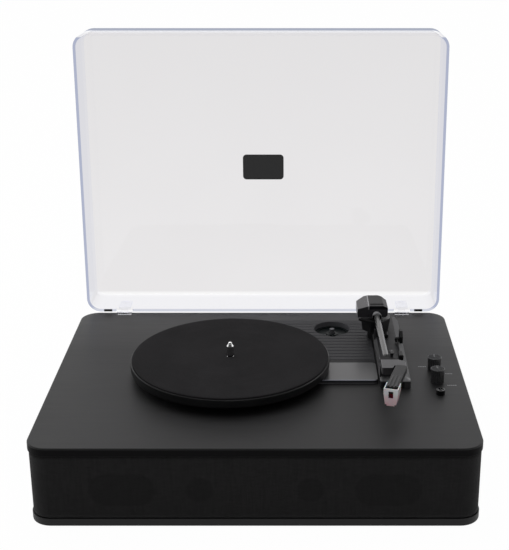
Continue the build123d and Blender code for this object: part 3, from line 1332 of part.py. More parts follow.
def make_cartridge():
    """Pickup body under the headshell, with its terminals at the back."""
    top = HEADSHELL_TOP - HEADSHELL_PLATE
    bottom = top - CARTRIDGE_HEIGHT
    half = CARTRIDGE_WIDTH / 2
    front = -CARTRIDGE_NOSE
    side = polygon([
        (front, top),
        (front, bottom + CARTRIDGE_HEIGHT / 2),
        (CARTRIDGE_NOSE, bottom),
        (CARTRIDGE_LENGTH, bottom),
        (CARTRIDGE_LENGTH, top),
    ])
    body = Pos(-half, 0, 0) * (Plane.YZ * extrude(side, CARTRIDGE_WIDTH))
    back = CARTRIDGE_LENGTH + PIN_LENGTH
    for index in range(PIN_COUNT):
        x = (index - (PIN_COUNT - 1) / 2) * PIN_SPACING
        body += rod_along_y(PIN_RADIUS, x, CARTRIDGE_LENGTH - OVERRUN, back, (top + bottom) / 2)
    return head_place(body)


def stylus_top():
    """Level of the stylus holder's top, under the pickup body."""
    return HEADSHELL_TOP - HEADSHELL_PLATE - CARTRIDGE_HEIGHT


def make_stylus():
    top = stylus_top()
    bottom = top - STYLUS_HEIGHT
    half = STYLUS_WIDTH / 2
    holder = block(-half, half, CARTRIDGE_NOSE, CARTRIDGE_NOSE + STYLUS_LENGTH, bottom, top)
    reach = STYLUS_CANTILEVER_LENGTH
    level = bottom + STYLUS_CANTILEVER_RISE
    radius = STYLUS_CANTILEVER_RADIUS
    front = CARTRIDGE_NOSE - reach / 2
    holder += rod_along_y(radius, 0, front, CARTRIDGE_NOSE + OVERRUN, level)
    needle = Cone(radius / 4, radius, STYLUS_TIP_LENGTH)
    holder += Pos(0, front + radius, level - STYLUS_TIP_LENGTH / 2) * needle
    return head_place(holder)


def guard_section(half, top, drop):
    """Section of the guard: upright beside the headshell, then narrower towards the record."""
    tip = half - HEADSHELL_WIDTH / 2 * (1 - GUARD_TAPER_SHARE)
    shoulder = HEADSHELL_TOP - HEADSHELL_SIDE_DEPTH
    return polygon([
        (-half, top),
        (-half, shoulder),
        (-tip, -drop),
        (tip, -drop),
        (half, shoulder),
        (half, top),
    ])


def make_stylus_guard():
    """Clear hood over the front of the pickup, open at the back and below, with a window."""
    drop = GUARD_BOTTOM
    top = GUARD_TOP
    inner_half = HEADSHELL_WIDTH / 2 + GUARD_GAP
    front = -GUARD_REACH - GUARD_WALL
    back = front + GUARD_LENGTH
    hood = upright(guard_section(inner_half + GUARD_WALL, top, drop), front, back)
    inner = guard_section(inner_half, top + OVERRUN, drop + OVERRUN)
    hood -= upright(inner, front + GUARD_WALL, back + OVERRUN)
    window_top = top - GUARD_WINDOW_DROP
    width = GUARD_WINDOW_WIDTH / 2
    hood -= block(
        -width, width, front - OVERRUN, front + GUARD_WALL + OVERRUN,
        window_top - GUARD_WINDOW_HEIGHT, window_top,
    )
    lip = GUARD_LIP_WIDTH / 2
    hood += block(-lip, lip, front, front + GUARD_WALL, -drop - GUARD_LIP_HEIGHT, -drop + GUARD_LIP_HEIGHT)
    return head_place(hood)


# Cueing parts and the speed switch
def cue_lift_place():
    """Place of the lift's shaft, in front of the column and under the tube."""
    angle = math.radians(ARM_REST_DEG)
    x = PIVOT_X + CUE_LIFT_RADIUS * math.sin(angle)
    y = PIVOT_Y - CUE_LIFT_RADIUS * math.cos(angle)
    return x, y


def make_cue_lift():
    """Curved bar that stays under the tube as the arm swings, on an upright shaft."""
    top = TUBE_BOTTOM - CUE_LIFT_GAP
    bottom = top - CUE_LIFT_THICKNESS
    inner = CUE_LIFT_RADIUS - CUE_LIFT_WIDTH / 2
    outer = CUE_LIFT_RADIUS + CUE_LIFT_WIDTH / 2
    start = -90 + ARM_REST_DEG + CUE_LIFT_LEAD_DEG
    sweep = -CUE_LIFT_SWEEP_DEG
    outside = CenterArc((0, 0), outer, start, sweep)
    inside = CenterArc((0, 0), inner, start, sweep)
    ends = Line(outside @ 0, inside @ 0) + Line(outside @ 1, inside @ 1)
    bar = Pos(PIVOT_X, PIVOT_Y, 0) * slab(make_face(outside + inside + ends), bottom, top)
    x, y = cue_lift_place()
    return bar + rod(CUE_LIFT_SHAFT_RADIUS, x, y, DECK_Z + ARM_BASE_SHELL, bottom + OVERRUN)


def cue_pin_place():
    """Middle of the cue lever's pin, as Y and Z."""
    return CUE_POST_Y - CUE_POST_DEPTH / 2 + CUE_PIN_FORWARD, ARM_BASE_TOP + CUE_PIN_RISE


def make_cue_post():
    top = ARM_BASE_TOP + CUE_POST_HEIGHT
    y, z = cue_pin_place()
    profile = polygon([
        (CUE_POST_Y - CUE_POST_DEPTH / 2, ARM_BASE_TOP),
        (CUE_POST_Y - CUE_POST_DEPTH / 2, z + CUE_PIN_RISE),
        (CUE_POST_Y, top),
        (CUE_POST_Y + CUE_POST_DEPTH / 2, top),
        (CUE_POST_Y + CUE_POST_DEPTH / 2, ARM_BASE_TOP),
    ])
    left = CUE_POST_X - CUE_POST_WIDTH / 2
    post = Pos(left, 0, 0) * (Plane.YZ * extrude(profile, CUE_POST_WIDTH))
    return post + rod_along_x(CUE_PIN_RADIUS, left - CUE_PIN_LENGTH, left + OVERRUN, y, z)


def make_cue_lever():
    y, z = cue_pin_place()
    right = CUE_POST_X - CUE_POST_WIDTH / 2 - YOKE_GAP
    left = right - CUE_HUB_LENGTH
    middle = (left + right) / 2
    front = y - CUE_ROD_LENGTH
    lever = rod_along_x(CUE_HUB_RADIUS, left, right, y, z)
    lever += rod_along_y(CUE_ROD_RADIUS, middle, front, y, z)
    bottom = z - CUE_HANDLE_HEIGHT / 2 + CUE_ROD_RADIUS / 2
    handle = centred_block(
        CUE_HANDLE_WIDTH, CUE_HANDLE_LENGTH, middle, front - CUE_HANDLE_LENGTH / 2 + CUE_ROD_RADIUS,
        bottom, bottom + CUE_HANDLE_HEIGHT,
    )
    lever += fillet(handle.edges(), CUE_HANDLE_RADIUS)
    return lever - rod_along_x(CUE_PIN_RADIUS + RUNNING_CLEARANCE, left - OVERRUN, right + OVERRUN, y, z)


def make_speed_switch():
    bottom = ARM_BASE_TOP + SWITCH_GAP
    cap = centred_block(SWITCH_WIDTH, SWITCH_LENGTH, SWITCH_X, SWITCH_Y, bottom, bottom + SWITCH_HEIGHT)
    cap = chamfer(top_edges(cap), SWITCH_WIDTH / 5)
    width = SWITCH_STEM_WIDTH
    length = SWITCH_STEM_LENGTH
    return cap + centred_block(width, length, SWITCH_X, SWITCH_Y, bottom - SWITCH_STEM_DEPTH, bottom)


# Knobs and headphone socket
def make_knob(index):
    x, y = control_places()[index]
    bottom = DECK_Z + KNOB_GAP
    skirt_top = bottom + KNOB_HEIGHT - KNOB_CAP_HEIGHT
    top = bottom + KNOB_HEIGHT
    knob = rod(KNOB_RADIUS, x, y, bottom, skirt_top)
    for step in range(KNOB_FLUTE_COUNT):
        angle = math.radians(step * 360 / KNOB_FLUTE_COUNT)
        flute_x = x + KNOB_RADIUS * math.cos(angle)
        flute_y = y + KNOB_RADIUS * math.sin(angle)
        knob -= rod(KNOB_FLUTE_RADIUS, flute_x, flute_y, bottom - OVERRUN, skirt_top)
    cap = rod(KNOB_CAP_RADIUS, x, y, skirt_top, top)
    knob += fillet(top_edges(cap), KNOB_CAP_HEIGHT / 2)
    mark = KNOB_MARK_WIDTH / 2
    knob -= block(x - mark, x + mark, y, y + KNOB_CAP_RADIUS, top - KNOB_MARK_DEPTH, top + OVERRUN)
    return knob + rod(KNOB_SHAFT_RADIUS, x, y, bottom - KNOB_SHAFT_LENGTH + KNOB_HEIGHT / 2, bottom)


def make_control_pots():
    """Bodies of the volume control and the mode switch, under the deck."""
    pots = []
    for x, y in control_places()[:2]:
        pot = rod(POT_RADIUS, x, y, BODY_TOP - POT_HEIGHT, BODY_TOP)
        pot += rod(POT_NECK_RADIUS, x, y, BODY_TOP, DECK_Z)
        floor = BODY_TOP - POT_HEIGHT + OVERRUN
        pot -= rod(KNOB_SHAFT_RADIUS + RUNNING_CLEARANCE, x, y, floor, DECK_Z + OVERRUN)
        pots.append(pot)
    return group(pots)


def make_headphone_jack():
    x, y = control_places()[2]
    top = DECK_Z + JACK_PROUD
    collar = rod(JACK_RADIUS, x, y, DECK_Z, top)
    collar = fillet(top_edges(collar), JACK_RING_DEPTH / 2)
    collar -= rod(JACK_RING_RADIUS, x, y, top - JACK_RING_DEPTH, top + OVERRUN)
    jack = collar + rod(JACK_NECK_RADIUS, x, y, BODY_TOP, DECK_Z)
    jack += centred_block(JACK_BODY_WIDTH, JACK_BODY_WIDTH, x, y, BODY_TOP - JACK_BODY_HEIGHT, BODY_TOP)
    return jack - rod(JACK_BORE_RADIUS, x, y, top - JACK_BORE_DEPTH, top + OVERRUN)


# Dust cover group, drawn closed and then opened about the hinge
def open_cover(solid):
    """Turns a part of the closed cover to its open position."""
    hinge = Axis((0, HINGE_Y, HINGE_Z), (1, 0, 0))
    return solid.rotate(hinge, -COVER_OPEN_DEG)


def cover_blank(inset, bottom, top, edge):
    """Solid block in the cover's outline, set in on every side, with a rounded upper edge."""
    outline = rounded_rectangle(
        -COVER_WIDTH / 2 + inset, COVER_WIDTH / 2 - inset,
        COVER_BACK - COVER_DEPTH + inset, COVER_BACK - inset, COVER_RADIUS - inset,
    )
    blank = slab(outline, bottom, top)
    return fillet(top_edges(blank), edge)


def make_dust_cover():
    top = COVER_RIM_Z + COVER_HEIGHT
    cover = cover_blank(0, COVER_RIM_Z, top, COVER_EDGE_RADIUS)
    wall = COVER_WALL
    cover -= cover_blank(wall, COVER_RIM_Z - OVERRUN, top - wall, COVER_EDGE_RADIUS - wall)
    width = HINGE_WIDTH + 2 * HINGE_NOTCH_MARGIN
    notch_top = COVER_RIM_Z + HINGE_NOTCH_HEIGHT
    for side in (-1, 1):
        cover -= centred_block(
            width, 2 * wall + OVERRUN, side * HINGE_OFFSET, COVER_BACK, COVER_RIM_Z - OVERRUN, notch_top,
        )
    return open_cover(cover)


def make_hinge_leaves():
    """Clear leaves inside the back wall of the cover, each with its middle knuckle."""
    leaves = []
    inner = COVER_BACK - COVER_WALL
    for side in (-1, 1):
        x = side * HINGE_OFFSET
        half = HINGE_KNUCKLE_LENGTH / 2
        front = inner - HINGE_LEAF_THICKNESS
        strap_top = COVER_RIM_Z + HINGE_STRAP_THICKNESS
        leaf = centred_block(
            HINGE_LEAF_WIDTH, HINGE_LEAF_THICKNESS, x, inner - HINGE_LEAF_THICKNESS / 2,
            COVER_RIM_Z, COVER_RIM_Z + HINGE_LEAF_HEIGHT,
        )
        leaf += block(x - half, x + half, front, HINGE_Y, COVER_RIM_Z, strap_top)
        leaf += rod_along_x(HINGE_KNUCKLE_RADIUS, x - half, x + half, HINGE_Y, HINGE_Z)
        button_z = COVER_RIM_Z + HINGE_LEAF_HEIGHT * 2 / 3
        leaf += rod_along_y(HINGE_BUTTON_RADIUS, x, front - HINGE_BUTTON_HEIGHT, front, button_z)
        bore = HINGE_PIN_RADIUS + RUNNING_CLEARANCE
        leaf -= rod_along_x(bore, x - half - OVERRUN, x + half + OVERRUN, HINGE_Y, HINGE_Z)
        leaves.append(open_cover(leaf))
    return group(leaves)


def make_hinge_blocks():
    """Clear blocks in the notches of the deck, each with two outer knuckles."""
    blocks = []
    gap = HINGE_SIDE_GAP
    front = CASE_DEPTH / 2 - HINGE_NOTCH_DEPTH
    for side in (-1, 1):
        x = side * HINGE_OFFSET
        half = HINGE_WIDTH / 2
        floor = BODY_TOP + HINGE_BLOCK_THICKNESS
        base = block(x - half, x + half, front, CASE_DEPTH / 2, BODY_TOP, floor)
        inner = HINGE_KNUCKLE_LENGTH / 2 + gap
        for hand in (-1, 1):
            near = x + hand * inner
            far = x + hand * half
            left = min(near, far)
            right = max(near, far)
            base += rod_along_x(HINGE_KNUCKLE_RADIUS, left, right, HINGE_Y, HINGE_Z)
            base += block(
                left, right, HINGE_Y - HINGE_KNUCKLE_RADIUS, HINGE_Y + HINGE_KNUCKLE_RADIUS,
                BODY_TOP, HINGE_Z,
            )
        base -= rod_along_x(HINGE_PIN_RADIUS, x - half - OVERRUN, x + half + OVERRUN, HINGE_Y, HINGE_Z)
        blocks.append(base)
    return group(blocks)


def make_hinge_pins():
    pins = []
    half = HINGE_WIDTH / 2
    for side in (-1, 1):
        x = side * HINGE_OFFSET
        pins.append(rod_along_x(HINGE_PIN_RADIUS, x - half, x + half, HINGE_Y, HINGE_Z))
    return group(pins)


def make_cover_plate():
    """Small bare plate in the middle of the cover, on its inner face."""
    roof = COVER_RIM_Z + COVER_HEIGHT - COVER_WALL
    middle = COVER_BACK - COVER_DEPTH / 2
    outline = Pos(0, middle) * RectangleRounded(BADGE_WIDTH, BADGE_HEIGHT, BADGE_RADIUS)
    border = BADGE_BORDER
    field = Pos(0, middle) * RectangleRounded(
        BADGE_WIDTH - 2 * border, BADGE_HEIGHT - 2 * border, BADGE_RADIUS - border
    )
    bottom = roof - BADGE_THICKNESS
    plate = slab(outline, bottom, roof) - slab(field, bottom - OVERRUN, bottom + BADGE_SINK)
    return open_cover(plate)


def make_cover_bumpers():
    """Dark strips under the rim of the cover's back wall."""
    bumpers = []
    y = COVER_BACK - COVER_WALL / 2
    bottom = COVER_RIM_Z - BUMPER_THICKNESS
    for side in (-1, 1):
        strip = centred_block(BUMPER_LENGTH, BUMPER_WIDTH, side * BUMPER_OFFSET, y, bottom, COVER_RIM_Z)
        bumpers.append(open_cover(strip))
    return group(bumpers)


def make_parts():
    """Every node of the model by name, placed about the middle of the case."""
    return {
        "top_plate": make_top_plate(),
        "base_plate": make_base_plate(),
        "side_wall_left": make_side_wall(-1),
        "side_wall_right": make_side_wall(1),
        "back_panel": make_back_panel(),
        "front_baffle": make_front_baffle(),
        "grille_cloth": make_grille_cloth(),
        "rubber_feet": make_rubber_feet(),
        "case_screws": make_case_screws(),
        "woofer_baskets": group([make_woofer_basket(side) for side in (-1, 1)]),
        "woofer_cones": group([make_woofer_cone(side) for side in (-1, 1)]),
        "tweeters": group([make_tweeter(side) for side in (-1, 1)]),
        "circuit_board": make_circuit_board(),
        "board_pillars": make_board_pillars(),
        "socket_plate": make_socket_plate(),
        "rca_sockets": make_rca_sockets(),
        "line_in_socket": make_line_in_socket(),
        "power_inlet": make_power_inlet(),
        "deck_insert": make_deck_insert(),
        "record_adapter": make_adapter(),
        "platter": make_platter(),
        "felt_mat": make_felt_mat(),
        "spindle": make_spindle(),
        "spindle_bush": make_spindle_bush(),
        "drive_belt": make_drive_belt(),
        "motor": make_motor(),
        "motor_pulley": make_motor_pulley(),
        "motor_screws": make_motor_screws(),
        "tonearm_base": make_tonearm_base(),
        "pivot_column": make_pivot_column(),
        "pivot_bush": make_pivot_bush(),
        "swivel_yoke": make_swivel_yoke(),
        "pivot_pin": make_pivot_pin(),
        "arm_housing": make_arm_housing(),
        "counterweights": make_counterweights(),
        "arm_collar": make_arm_collar(),
        "collar_ring": make_collar_ring(),
        "arm_tube": make_arm_tube(),
        "tube_ring": make_tube_ring(),
        "arm_elbow": make_arm_elbow(),
        "headshell": make_headshell(),
        "cartridge": make_cartridge(),
        "stylus": make_stylus(),
        "stylus_guard": make_stylus_guard(),
        "arm_rest": make_arm_rest(),
        "arm_latch": make_arm_latch(),
        "cue_post": make_cue_post(),
        "cue_lever": make_cue_lever(),
        "cue_lift": make_cue_lift(),
        "speed_switch": make_speed_switch(),
        "volume_knob": make_knob(0),
        "mode_knob": make_knob(1),
        "control_pots": make_control_pots(),
        "headphone_jack": make_headphone_jack(),
        "dust_cover": make_dust_cover(),
        "hinge_leaves": make_hinge_leaves(),
        "hinge_blocks": make_hinge_blocks(),
        "hinge_pins": make_hinge_pins(),
        "cover_plate": make_cover_plate(),
        "cover_bumpers": make_cover_bumpers(),
    }


def main():
    parts = make_parts()
    # The origin is the middle of the whole outline, on the surface that the feet stand on.
    back = parts["dust_cover"].bounding_box().max.Y
    shift = (CASE_DEPTH / 2 - back) / 2
    os.makedirs("parts", exist_ok=True)
    for name, solid in parts.items():
        export_step(Pos(0, shift, 0) * solid, os.path.join("parts", name + ".step"))
    return shift


if __name__ == "__main__":
    main()
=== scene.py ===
import bpy
import json
import math
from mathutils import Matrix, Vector


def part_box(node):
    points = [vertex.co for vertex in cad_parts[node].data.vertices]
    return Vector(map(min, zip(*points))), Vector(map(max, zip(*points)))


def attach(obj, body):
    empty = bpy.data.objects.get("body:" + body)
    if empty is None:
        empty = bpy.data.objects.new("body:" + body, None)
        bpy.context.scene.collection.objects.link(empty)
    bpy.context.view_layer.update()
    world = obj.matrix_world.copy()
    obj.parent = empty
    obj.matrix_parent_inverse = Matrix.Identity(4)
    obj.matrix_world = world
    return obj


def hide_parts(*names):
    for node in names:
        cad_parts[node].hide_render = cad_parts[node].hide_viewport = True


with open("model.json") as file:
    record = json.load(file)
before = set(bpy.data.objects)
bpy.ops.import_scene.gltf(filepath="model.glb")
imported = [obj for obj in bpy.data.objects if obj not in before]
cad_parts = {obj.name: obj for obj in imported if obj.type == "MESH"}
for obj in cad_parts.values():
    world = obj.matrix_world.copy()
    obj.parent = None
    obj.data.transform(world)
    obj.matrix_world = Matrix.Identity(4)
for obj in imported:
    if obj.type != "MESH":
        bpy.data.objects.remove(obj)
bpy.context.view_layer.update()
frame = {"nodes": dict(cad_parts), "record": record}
NODES = frame["nodes"]

# Places measured on the CAD pieces, in metres
MM = 0.001
PLATE_LOW, PLATE_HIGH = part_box("top_plate")
DECK = PLATE_HIGH.z
CASE_Y = (PLATE_LOW.y + PLATE_HIGH.y) / 2
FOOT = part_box("base_plate")[0].z
INSERT_LOW, INSERT_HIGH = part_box("deck_insert")
RIB_TOP = DECK + 1.5 * MM
PAD_FOOT = DECK + 2.2 * MM
PAD_BACK = INSERT_LOW.y + 43.5 * MM
COVER_OPEN = math.radians(92.3)

# Scales of the spark grain of plastics and of the fleck of lacquers, both per metre
SPARK = 900
FLECK = 2600
WHITE = (1.0, 1.0, 1.0)

# Corners of a square, turning left
SQUARE = ((-1, -1), (1, -1), (1, 1), (-1, 1))


def grey(level):
    """Neutral colour of one level."""
    return (level, level, level)


def scaled(color, factor):
    """Colour times a factor, held at white."""
    return tuple(min(1, channel * factor) for channel in color)


def middle(node):
    """Middle of a CAD piece's box."""
    low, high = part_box(node)
    return (low + high) / 2


def corners(node):
    """Places of a CAD piece's mesh points."""
    piece = NODES[node]
    return [piece.matrix_world @ vertex.co for vertex in piece.data.vertices]


def cover_span():
    """Least and greatest height and reach of the cover as it would lie shut."""
    points = corners("dust_cover")
    heights = [p.y * math.sin(COVER_OPEN) + p.z * math.cos(COVER_OPEN) for p in points]
    reaches = [p.z * math.sin(COVER_OPEN) - p.y * math.cos(COVER_OPEN) for p in points]
    return min(heights), max(heights), min(reaches), max(reaches)


class Graph:
    """Node tree of a material or a world, built one node at a time."""

    def __init__(self, owner):
        self.owner = owner
        owner.use_nodes = True
        self.tree = owner.node_tree
        self.tree.nodes.clear()

    def add(self, kind, inputs=None, **options):
        """A new node: an input given as a socket is linked, any other is set as a value."""
        node = self.tree.nodes.new(kind)
        for key, value in options.items():
            setattr(node, key, value)
        for key, value in (inputs or {}).items():
            self.feed(node.inputs[key], value)
        return node

    def feed(self, socket, value):
        """Links a socket to an input or sets the input's value."""
        if isinstance(value, bpy.types.NodeSocket):
            self.tree.links.new(value, socket)
        elif socket.type == "RGBA":
            socket.default_value = (*value, 1)
        else:
            socket.default_value = value

    # Numbers

    def math(self, operation, *terms, clamp=False):
        """Outcome of an operation on numbers and sources."""
        inputs = dict(enumerate(terms))
        return self.add("ShaderNodeMath", inputs, operation=operation, use_clamp=clamp).outputs[0]

    def times(self, first, *factors, clamp=False):
        """Product, held between nought and one if it is clamped."""
        for factor in factors:
            first = self.math("MULTIPLY", first, factor, clamp=clamp)
        return first

    def blend(self, *shares):
        """Sum of sources, each times its share."""
        first, *others = [self.times(source, share) for source, share in shares]
        for other in others:
            first = self.math("ADD", first, other)
        return first

    def without(self, share):
        """What a share leaves of one."""
        return self.math("SUBTRACT", 1.0, share)

    def span(self, source, low, high, start=0.0, end=1.0):
        """A source's run from start to end, laid out from low to high."""
        return self.add("ShaderNodeMapRange", {
            "Value": source, "From Min": start, "From Max": end, "To Min": low, "To Max": high,
        }).outputs["Result"]

    def above(self, source, start, soft):
        """Nought up to a value and one past it, with a soft step."""
        return self.span(source, 0.0, 1.0, start, start + soft)

    def below(self, source, end, soft):
        """One down from a value and nought past it, with a soft step."""
        return self.span(source, 1.0, 0.0, end - soft, end)

    def between(self, source, start, end, soft):
        """One between two values, nought outside them, with soft ends."""
        rise = self.above(source, start - soft, 2 * soft)
        fall = self.below(source, end + soft, 2 * soft)
        return self.math("MINIMUM", rise, fall)

    # Places and faces

    def place(self, scale=(1, 1, 1), turn=(0, 0, 0)):
        """Object coordinates, stretched and turned."""
        coord = self.add("ShaderNodeTexCoord").outputs["Object"]
        inputs = {"Vector": coord, "Scale": scale, "Rotation": turn}
        return self.add("ShaderNodeMapping", inputs).outputs["Vector"]

    def axes(self, vector=None):
        """The three coordinates of a vector, or else of the object's own places."""
        vector = self.place() if vector is None else vector
        return self.add("ShaderNodeSeparateXYZ", {"Vector": vector}).outputs

    def noise(self, scale, detail, rough, vector=None):
        """Cloudy noise from nought to one at the object's own places or a given vector."""
        vector = self.place() if vector is None else vector
        return self.add("ShaderNodeTexNoise", {
            "Vector": vector, "Scale": scale, "Detail": detail, "Roughness": rough,
        }).outputs["Fac"]

    def rounded(self, radius, samples):
        """Normal of the faces as if their edges were rounded."""
        return self.add("ShaderNodeBevel", {"Radius": radius}, samples=samples).outputs["Normal"]

    def edges(self, radius):
        """One along the sharp edges of a piece, nought on its faces."""
        flat = self.add("ShaderNodeNewGeometry").outputs["True Normal"]
        inputs = {0: self.rounded(radius, 6), 1: flat}
        alike = self.add("ShaderNodeVectorMath", inputs, operation="DOT_PRODUCT").outputs["Value"]
        at_edge, on_face = 0.985, 0.9995
        return self.span(alike, 1.0, 0.0, at_edge, on_face)

    def facing(self):
        """Nought where a face is seen square on, one where it is grazed."""
        return self.add("ShaderNodeLayerWeight", {"Blend": 0.5}).outputs["Facing"]

    def outside(self):
        """One on a face's outer side."""
        return self.without(self.add("ShaderNodeNewGeometry").outputs["Backfacing"])

    def bump(self, height, distance, strength, edge=None):
        """Normal with a relief, over rounded edges if they are given a radius."""
        inputs = {"Height": height, "Distance": distance, "Strength": strength}
        if edge:
            inputs["Normal"] = self.rounded(edge, 4)
        return self.add("ShaderNodeBump", inputs).outputs["Normal"]

    # Colours and shaders

    def ramp(self, source, low, high, start=0.3, end=0.7):
        """Colour that runs from low to high while a source runs from start to end."""
        node = self.add("ShaderNodeValToRGB", {"Fac": source})
        stops = node.color_ramp.elements
        for stop, position, color in ((stops[0], start, low), (stops[1], end, high)):
            stop.position = position
            stop.color = (*color, 1)
        return node.outputs["Color"]

    def mix(self, factor, low, high):
        """Low colour where the factor is nought, high where it is one."""
        node = self.add("ShaderNodeMix", {"Factor": factor}, data_type="RGBA")
        colors = [socket for socket in node.inputs if socket.type == "RGBA"]
        for socket, value in zip(colors, (low, high)):
            self.feed(socket, value)
        return [socket for socket in node.outputs if socket.type == "RGBA"][0]

    def either(self, share, first, second):
        """First shader where the share is nought, second where it is one."""
        return self.add("ShaderNodeMixShader", {0: share, 1: first, 2: second}).outputs[0]

    def coat(self, inputs):
        """Principled surface."""
        return self.add("ShaderNodeBsdfPrincipled", inputs).outputs[0]

    def end(self, shader, output="ShaderNodeOutputMaterial"):
        """The finished material or world."""
        self.add(output, {"Surface": shader})
        return self.owner


def material_graph(name):
    """Empty graph of a new material."""
    return Graph(bpy.data.materials.new(name))


# Case and deck

def veneer(name, dark, light):
    """Black stained veneer with open grain along the case's width, with painted shade on the
    deck's edge faces.
    """
    g = material_graph(name)
    long_grain = g.noise(1.0, 6, 0.65, g.place((14, 420, 420)))
    pores = g.noise(1.0, 3, 0.5, g.place((45, 1500, 1500)))
    grain = g.blend((long_grain, 0.6), (pores, 0.4))
    tone = g.blend((grain, 0.75), (g.noise(9, 3, 0.5), 0.25))
    axes = g.axes()
    # Painted shade: near-black colour for the top plate's edge faces below the deck
    edge_shade = (0.0036, 0.0034, 0.0038)
    edge = g.between(axes["Z"], PLATE_LOW.z, DECK - 1.4 * MM, 0.2 * MM)
    stained = g.ramp(tone, dark, light, 0.38, 0.66)
    farther = g.span(axes["Y"], 0.86, 1.8, 20 * MM, 175 * MM)
    return g.end(g.coat({
        "Base Color": g.mix(g.times(edge, 0.85), stained, edge_shade),
        "Roughness": g.span(grain, 0.42, 0.56, 0.3, 0.7),
        "Normal": g.bump(grain, 0.12 * MM, 0.35, 0.6 * MM),
        "Specular IOR Level": g.times(g.span(edge, 0.28, 0.05), farther),
    }))


def insert_plastic(name, ribs, pad):
    """Moulded plastic, sparked between the ribs and smoother and lighter on the raised pad, with
    painted light in the rib grooves, painted shade on the ribs behind the pad and on the pad's
    front face, and a painted highlight along the pad's front lip.
    """
    g = material_graph(name)
    axes = g.axes()
    fine = g.noise(SPARK, 3, 0.6)
    tone = g.blend((fine, 0.35), (g.noise(14, 4, 0.6), 0.65))
    raised = g.above(axes["Z"], PAD_FOOT, 0.4 * MM)
    # Painted light: the rib grooves are lightened to thin out their shade
    groove_light = g.below(axes["Z"], RIB_TOP - 0.02 * MM, 0.08 * MM)
    # Painted shade on the ribs just behind the pad's back edge
    behind = g.between(axes["Y"], PAD_BACK, PAD_BACK + 13 * MM, 2 * MM)
    front = g.below(axes["Y"], INSERT_LOW.y + 1.2 * MM, 0.6 * MM)
    # Painted highlight along the pad's front lip
    lip = g.times(front, g.above(axes["Z"], INSERT_HIGH.z - 0.9 * MM, 0.4 * MM))
    # Colours of the painted shade on the pad's front face and of the painted highlight on its lip
    shaded, lip_highlight = (0.008, 0.008, 0.010), (0.26, 0.27, 0.32)
    low = g.ramp(tone, scaled(ribs, 0.8), scaled(ribs, 1.2))
    low = g.mix(groove_light, low, scaled(ribs, 3.0))
    low = g.mix(g.times(behind, 0.55), low, grey(0.006))
    high = g.ramp(tone, scaled(pad, 0.94), scaled(pad, 1.06))
    # Painted shade on the pad's front face
    high = g.mix(g.times(front, 0.8), high, shaded)
    high = g.mix(lip, high, lip_highlight)
    return g.end(g.coat({
        "Specular IOR Level": g.span(raised, 0.08, 0.4),
        "Base Color": g.mix(raised, low, high),
        "Roughness": g.span(raised, 0.5, 0.3),
        "Normal": g.bump(fine, 0.015 * MM, 0.5, 0.7 * MM),
    }))


def base_plastic(name, color, facet):
    """Mottled dark plastic of the tonearm base, with a painted highlight on the polished bevel at
    its front, painted light on its right slope and painted highlights along its edges.
    """
    g = material_graph(name)
    low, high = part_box("tonearm_base")
    axes = g.axes()
    front = g.below(axes["Y"], low.y + 6.8 * MM, 0.6 * MM)
    # Painted highlight on the polished front bevel, in the colour facet
    bevel_glint = g.times(front, g.above(axes["Z"], DECK + 7.6 * MM, 0.6 * MM))
    # Painted light on the right slope of the base
    slope_light = g.above(axes["X"], high.x - 6.8 * MM, 0.6 * MM)
    tint = g.ramp(g.noise(150, 4, 0.6), scaled(color, 0.5), scaled(color, 2.5))
    # Painted highlights along the base's edges
    tint = g.mix(g.times(g.edges(0.9 * MM), 0.8), tint, (0.09, 0.09, 0.095))
    tint = g.mix(g.times(slope_light, 0.8), tint, (0.055, 0.055, 0.057))
    return g.end(g.coat({
        "Specular IOR Level": 0.2,
        "Base Color": g.mix(bevel_glint, tint, facet),
        "Roughness": g.span(bevel_glint, 0.5, 0.25),
        "Normal": g.bump(g.noise(SPARK, 3, 0.6), 0.03 * MM, 0.6, 0.4 * MM),
    }))


# Plastics, rubber and metals

def plastic(name, color, rough=0.4, grain=0.03 * MM, edge=0.35 * MM, specular=0.5):
    """Moulded plastic with fine spark grain, slightly uneven gloss and softened edges."""
    g = material_graph(name)
    fine = g.noise(SPARK, 3, 0.6)
    wide = g.noise(30, 4, 0.55)
    tone = g.blend((fine, 0.5), (wide, 0.5))
    return g.end(g.coat({
        "Specular IOR Level": specular,
        "Base Color": g.ramp(tone, scaled(color, 0.75), scaled(color, 1.25)),
        "Roughness": g.span(wide, rough * 0.85, rough * 1.2, 0.3, 0.7),
        "Normal": g.bump(fine, grain, 0.6, edge),
    }))


def polished(name, color, edge=0.3 * MM, rough=0.12, specular=0.5):
    """Glossy moulding with next to no grain."""
    return plastic(name, color, rough, 0.004 * MM, edge, specular)


def knob_plastic(name):
    """Black knob, fluted dark sides and painted highlights on its rims."""
    g = material_graph(name)
    flutes = g.noise(700, 3, 0.6)
    # Painted highlights on the knob's rims
    rim_glints = g.edges(0.9 * MM)
    tint = g.ramp(flutes, grey(0.002), (0.016, 0.016, 0.017), 0.35, 0.65)
    return g.end(g.coat({
        "Base Color": g.mix(rim_glints, tint, (0.075, 0.075, 0.078)),
        "Specular IOR Level": g.span(rim_glints, 0.06, 0.3),
        "Roughness": g.span(flutes, 0.22, 0.4, 0.3, 0.7),
        "Normal": g.bump(flutes, 0.06 * MM, 0.6, 0.3 * MM),
    }))


def length_across(g, first, second):
    """Length of a line from its two legs."""
    return g.math("SQRT", g.math("ADD", g.times(first, first), g.times(second, second)))


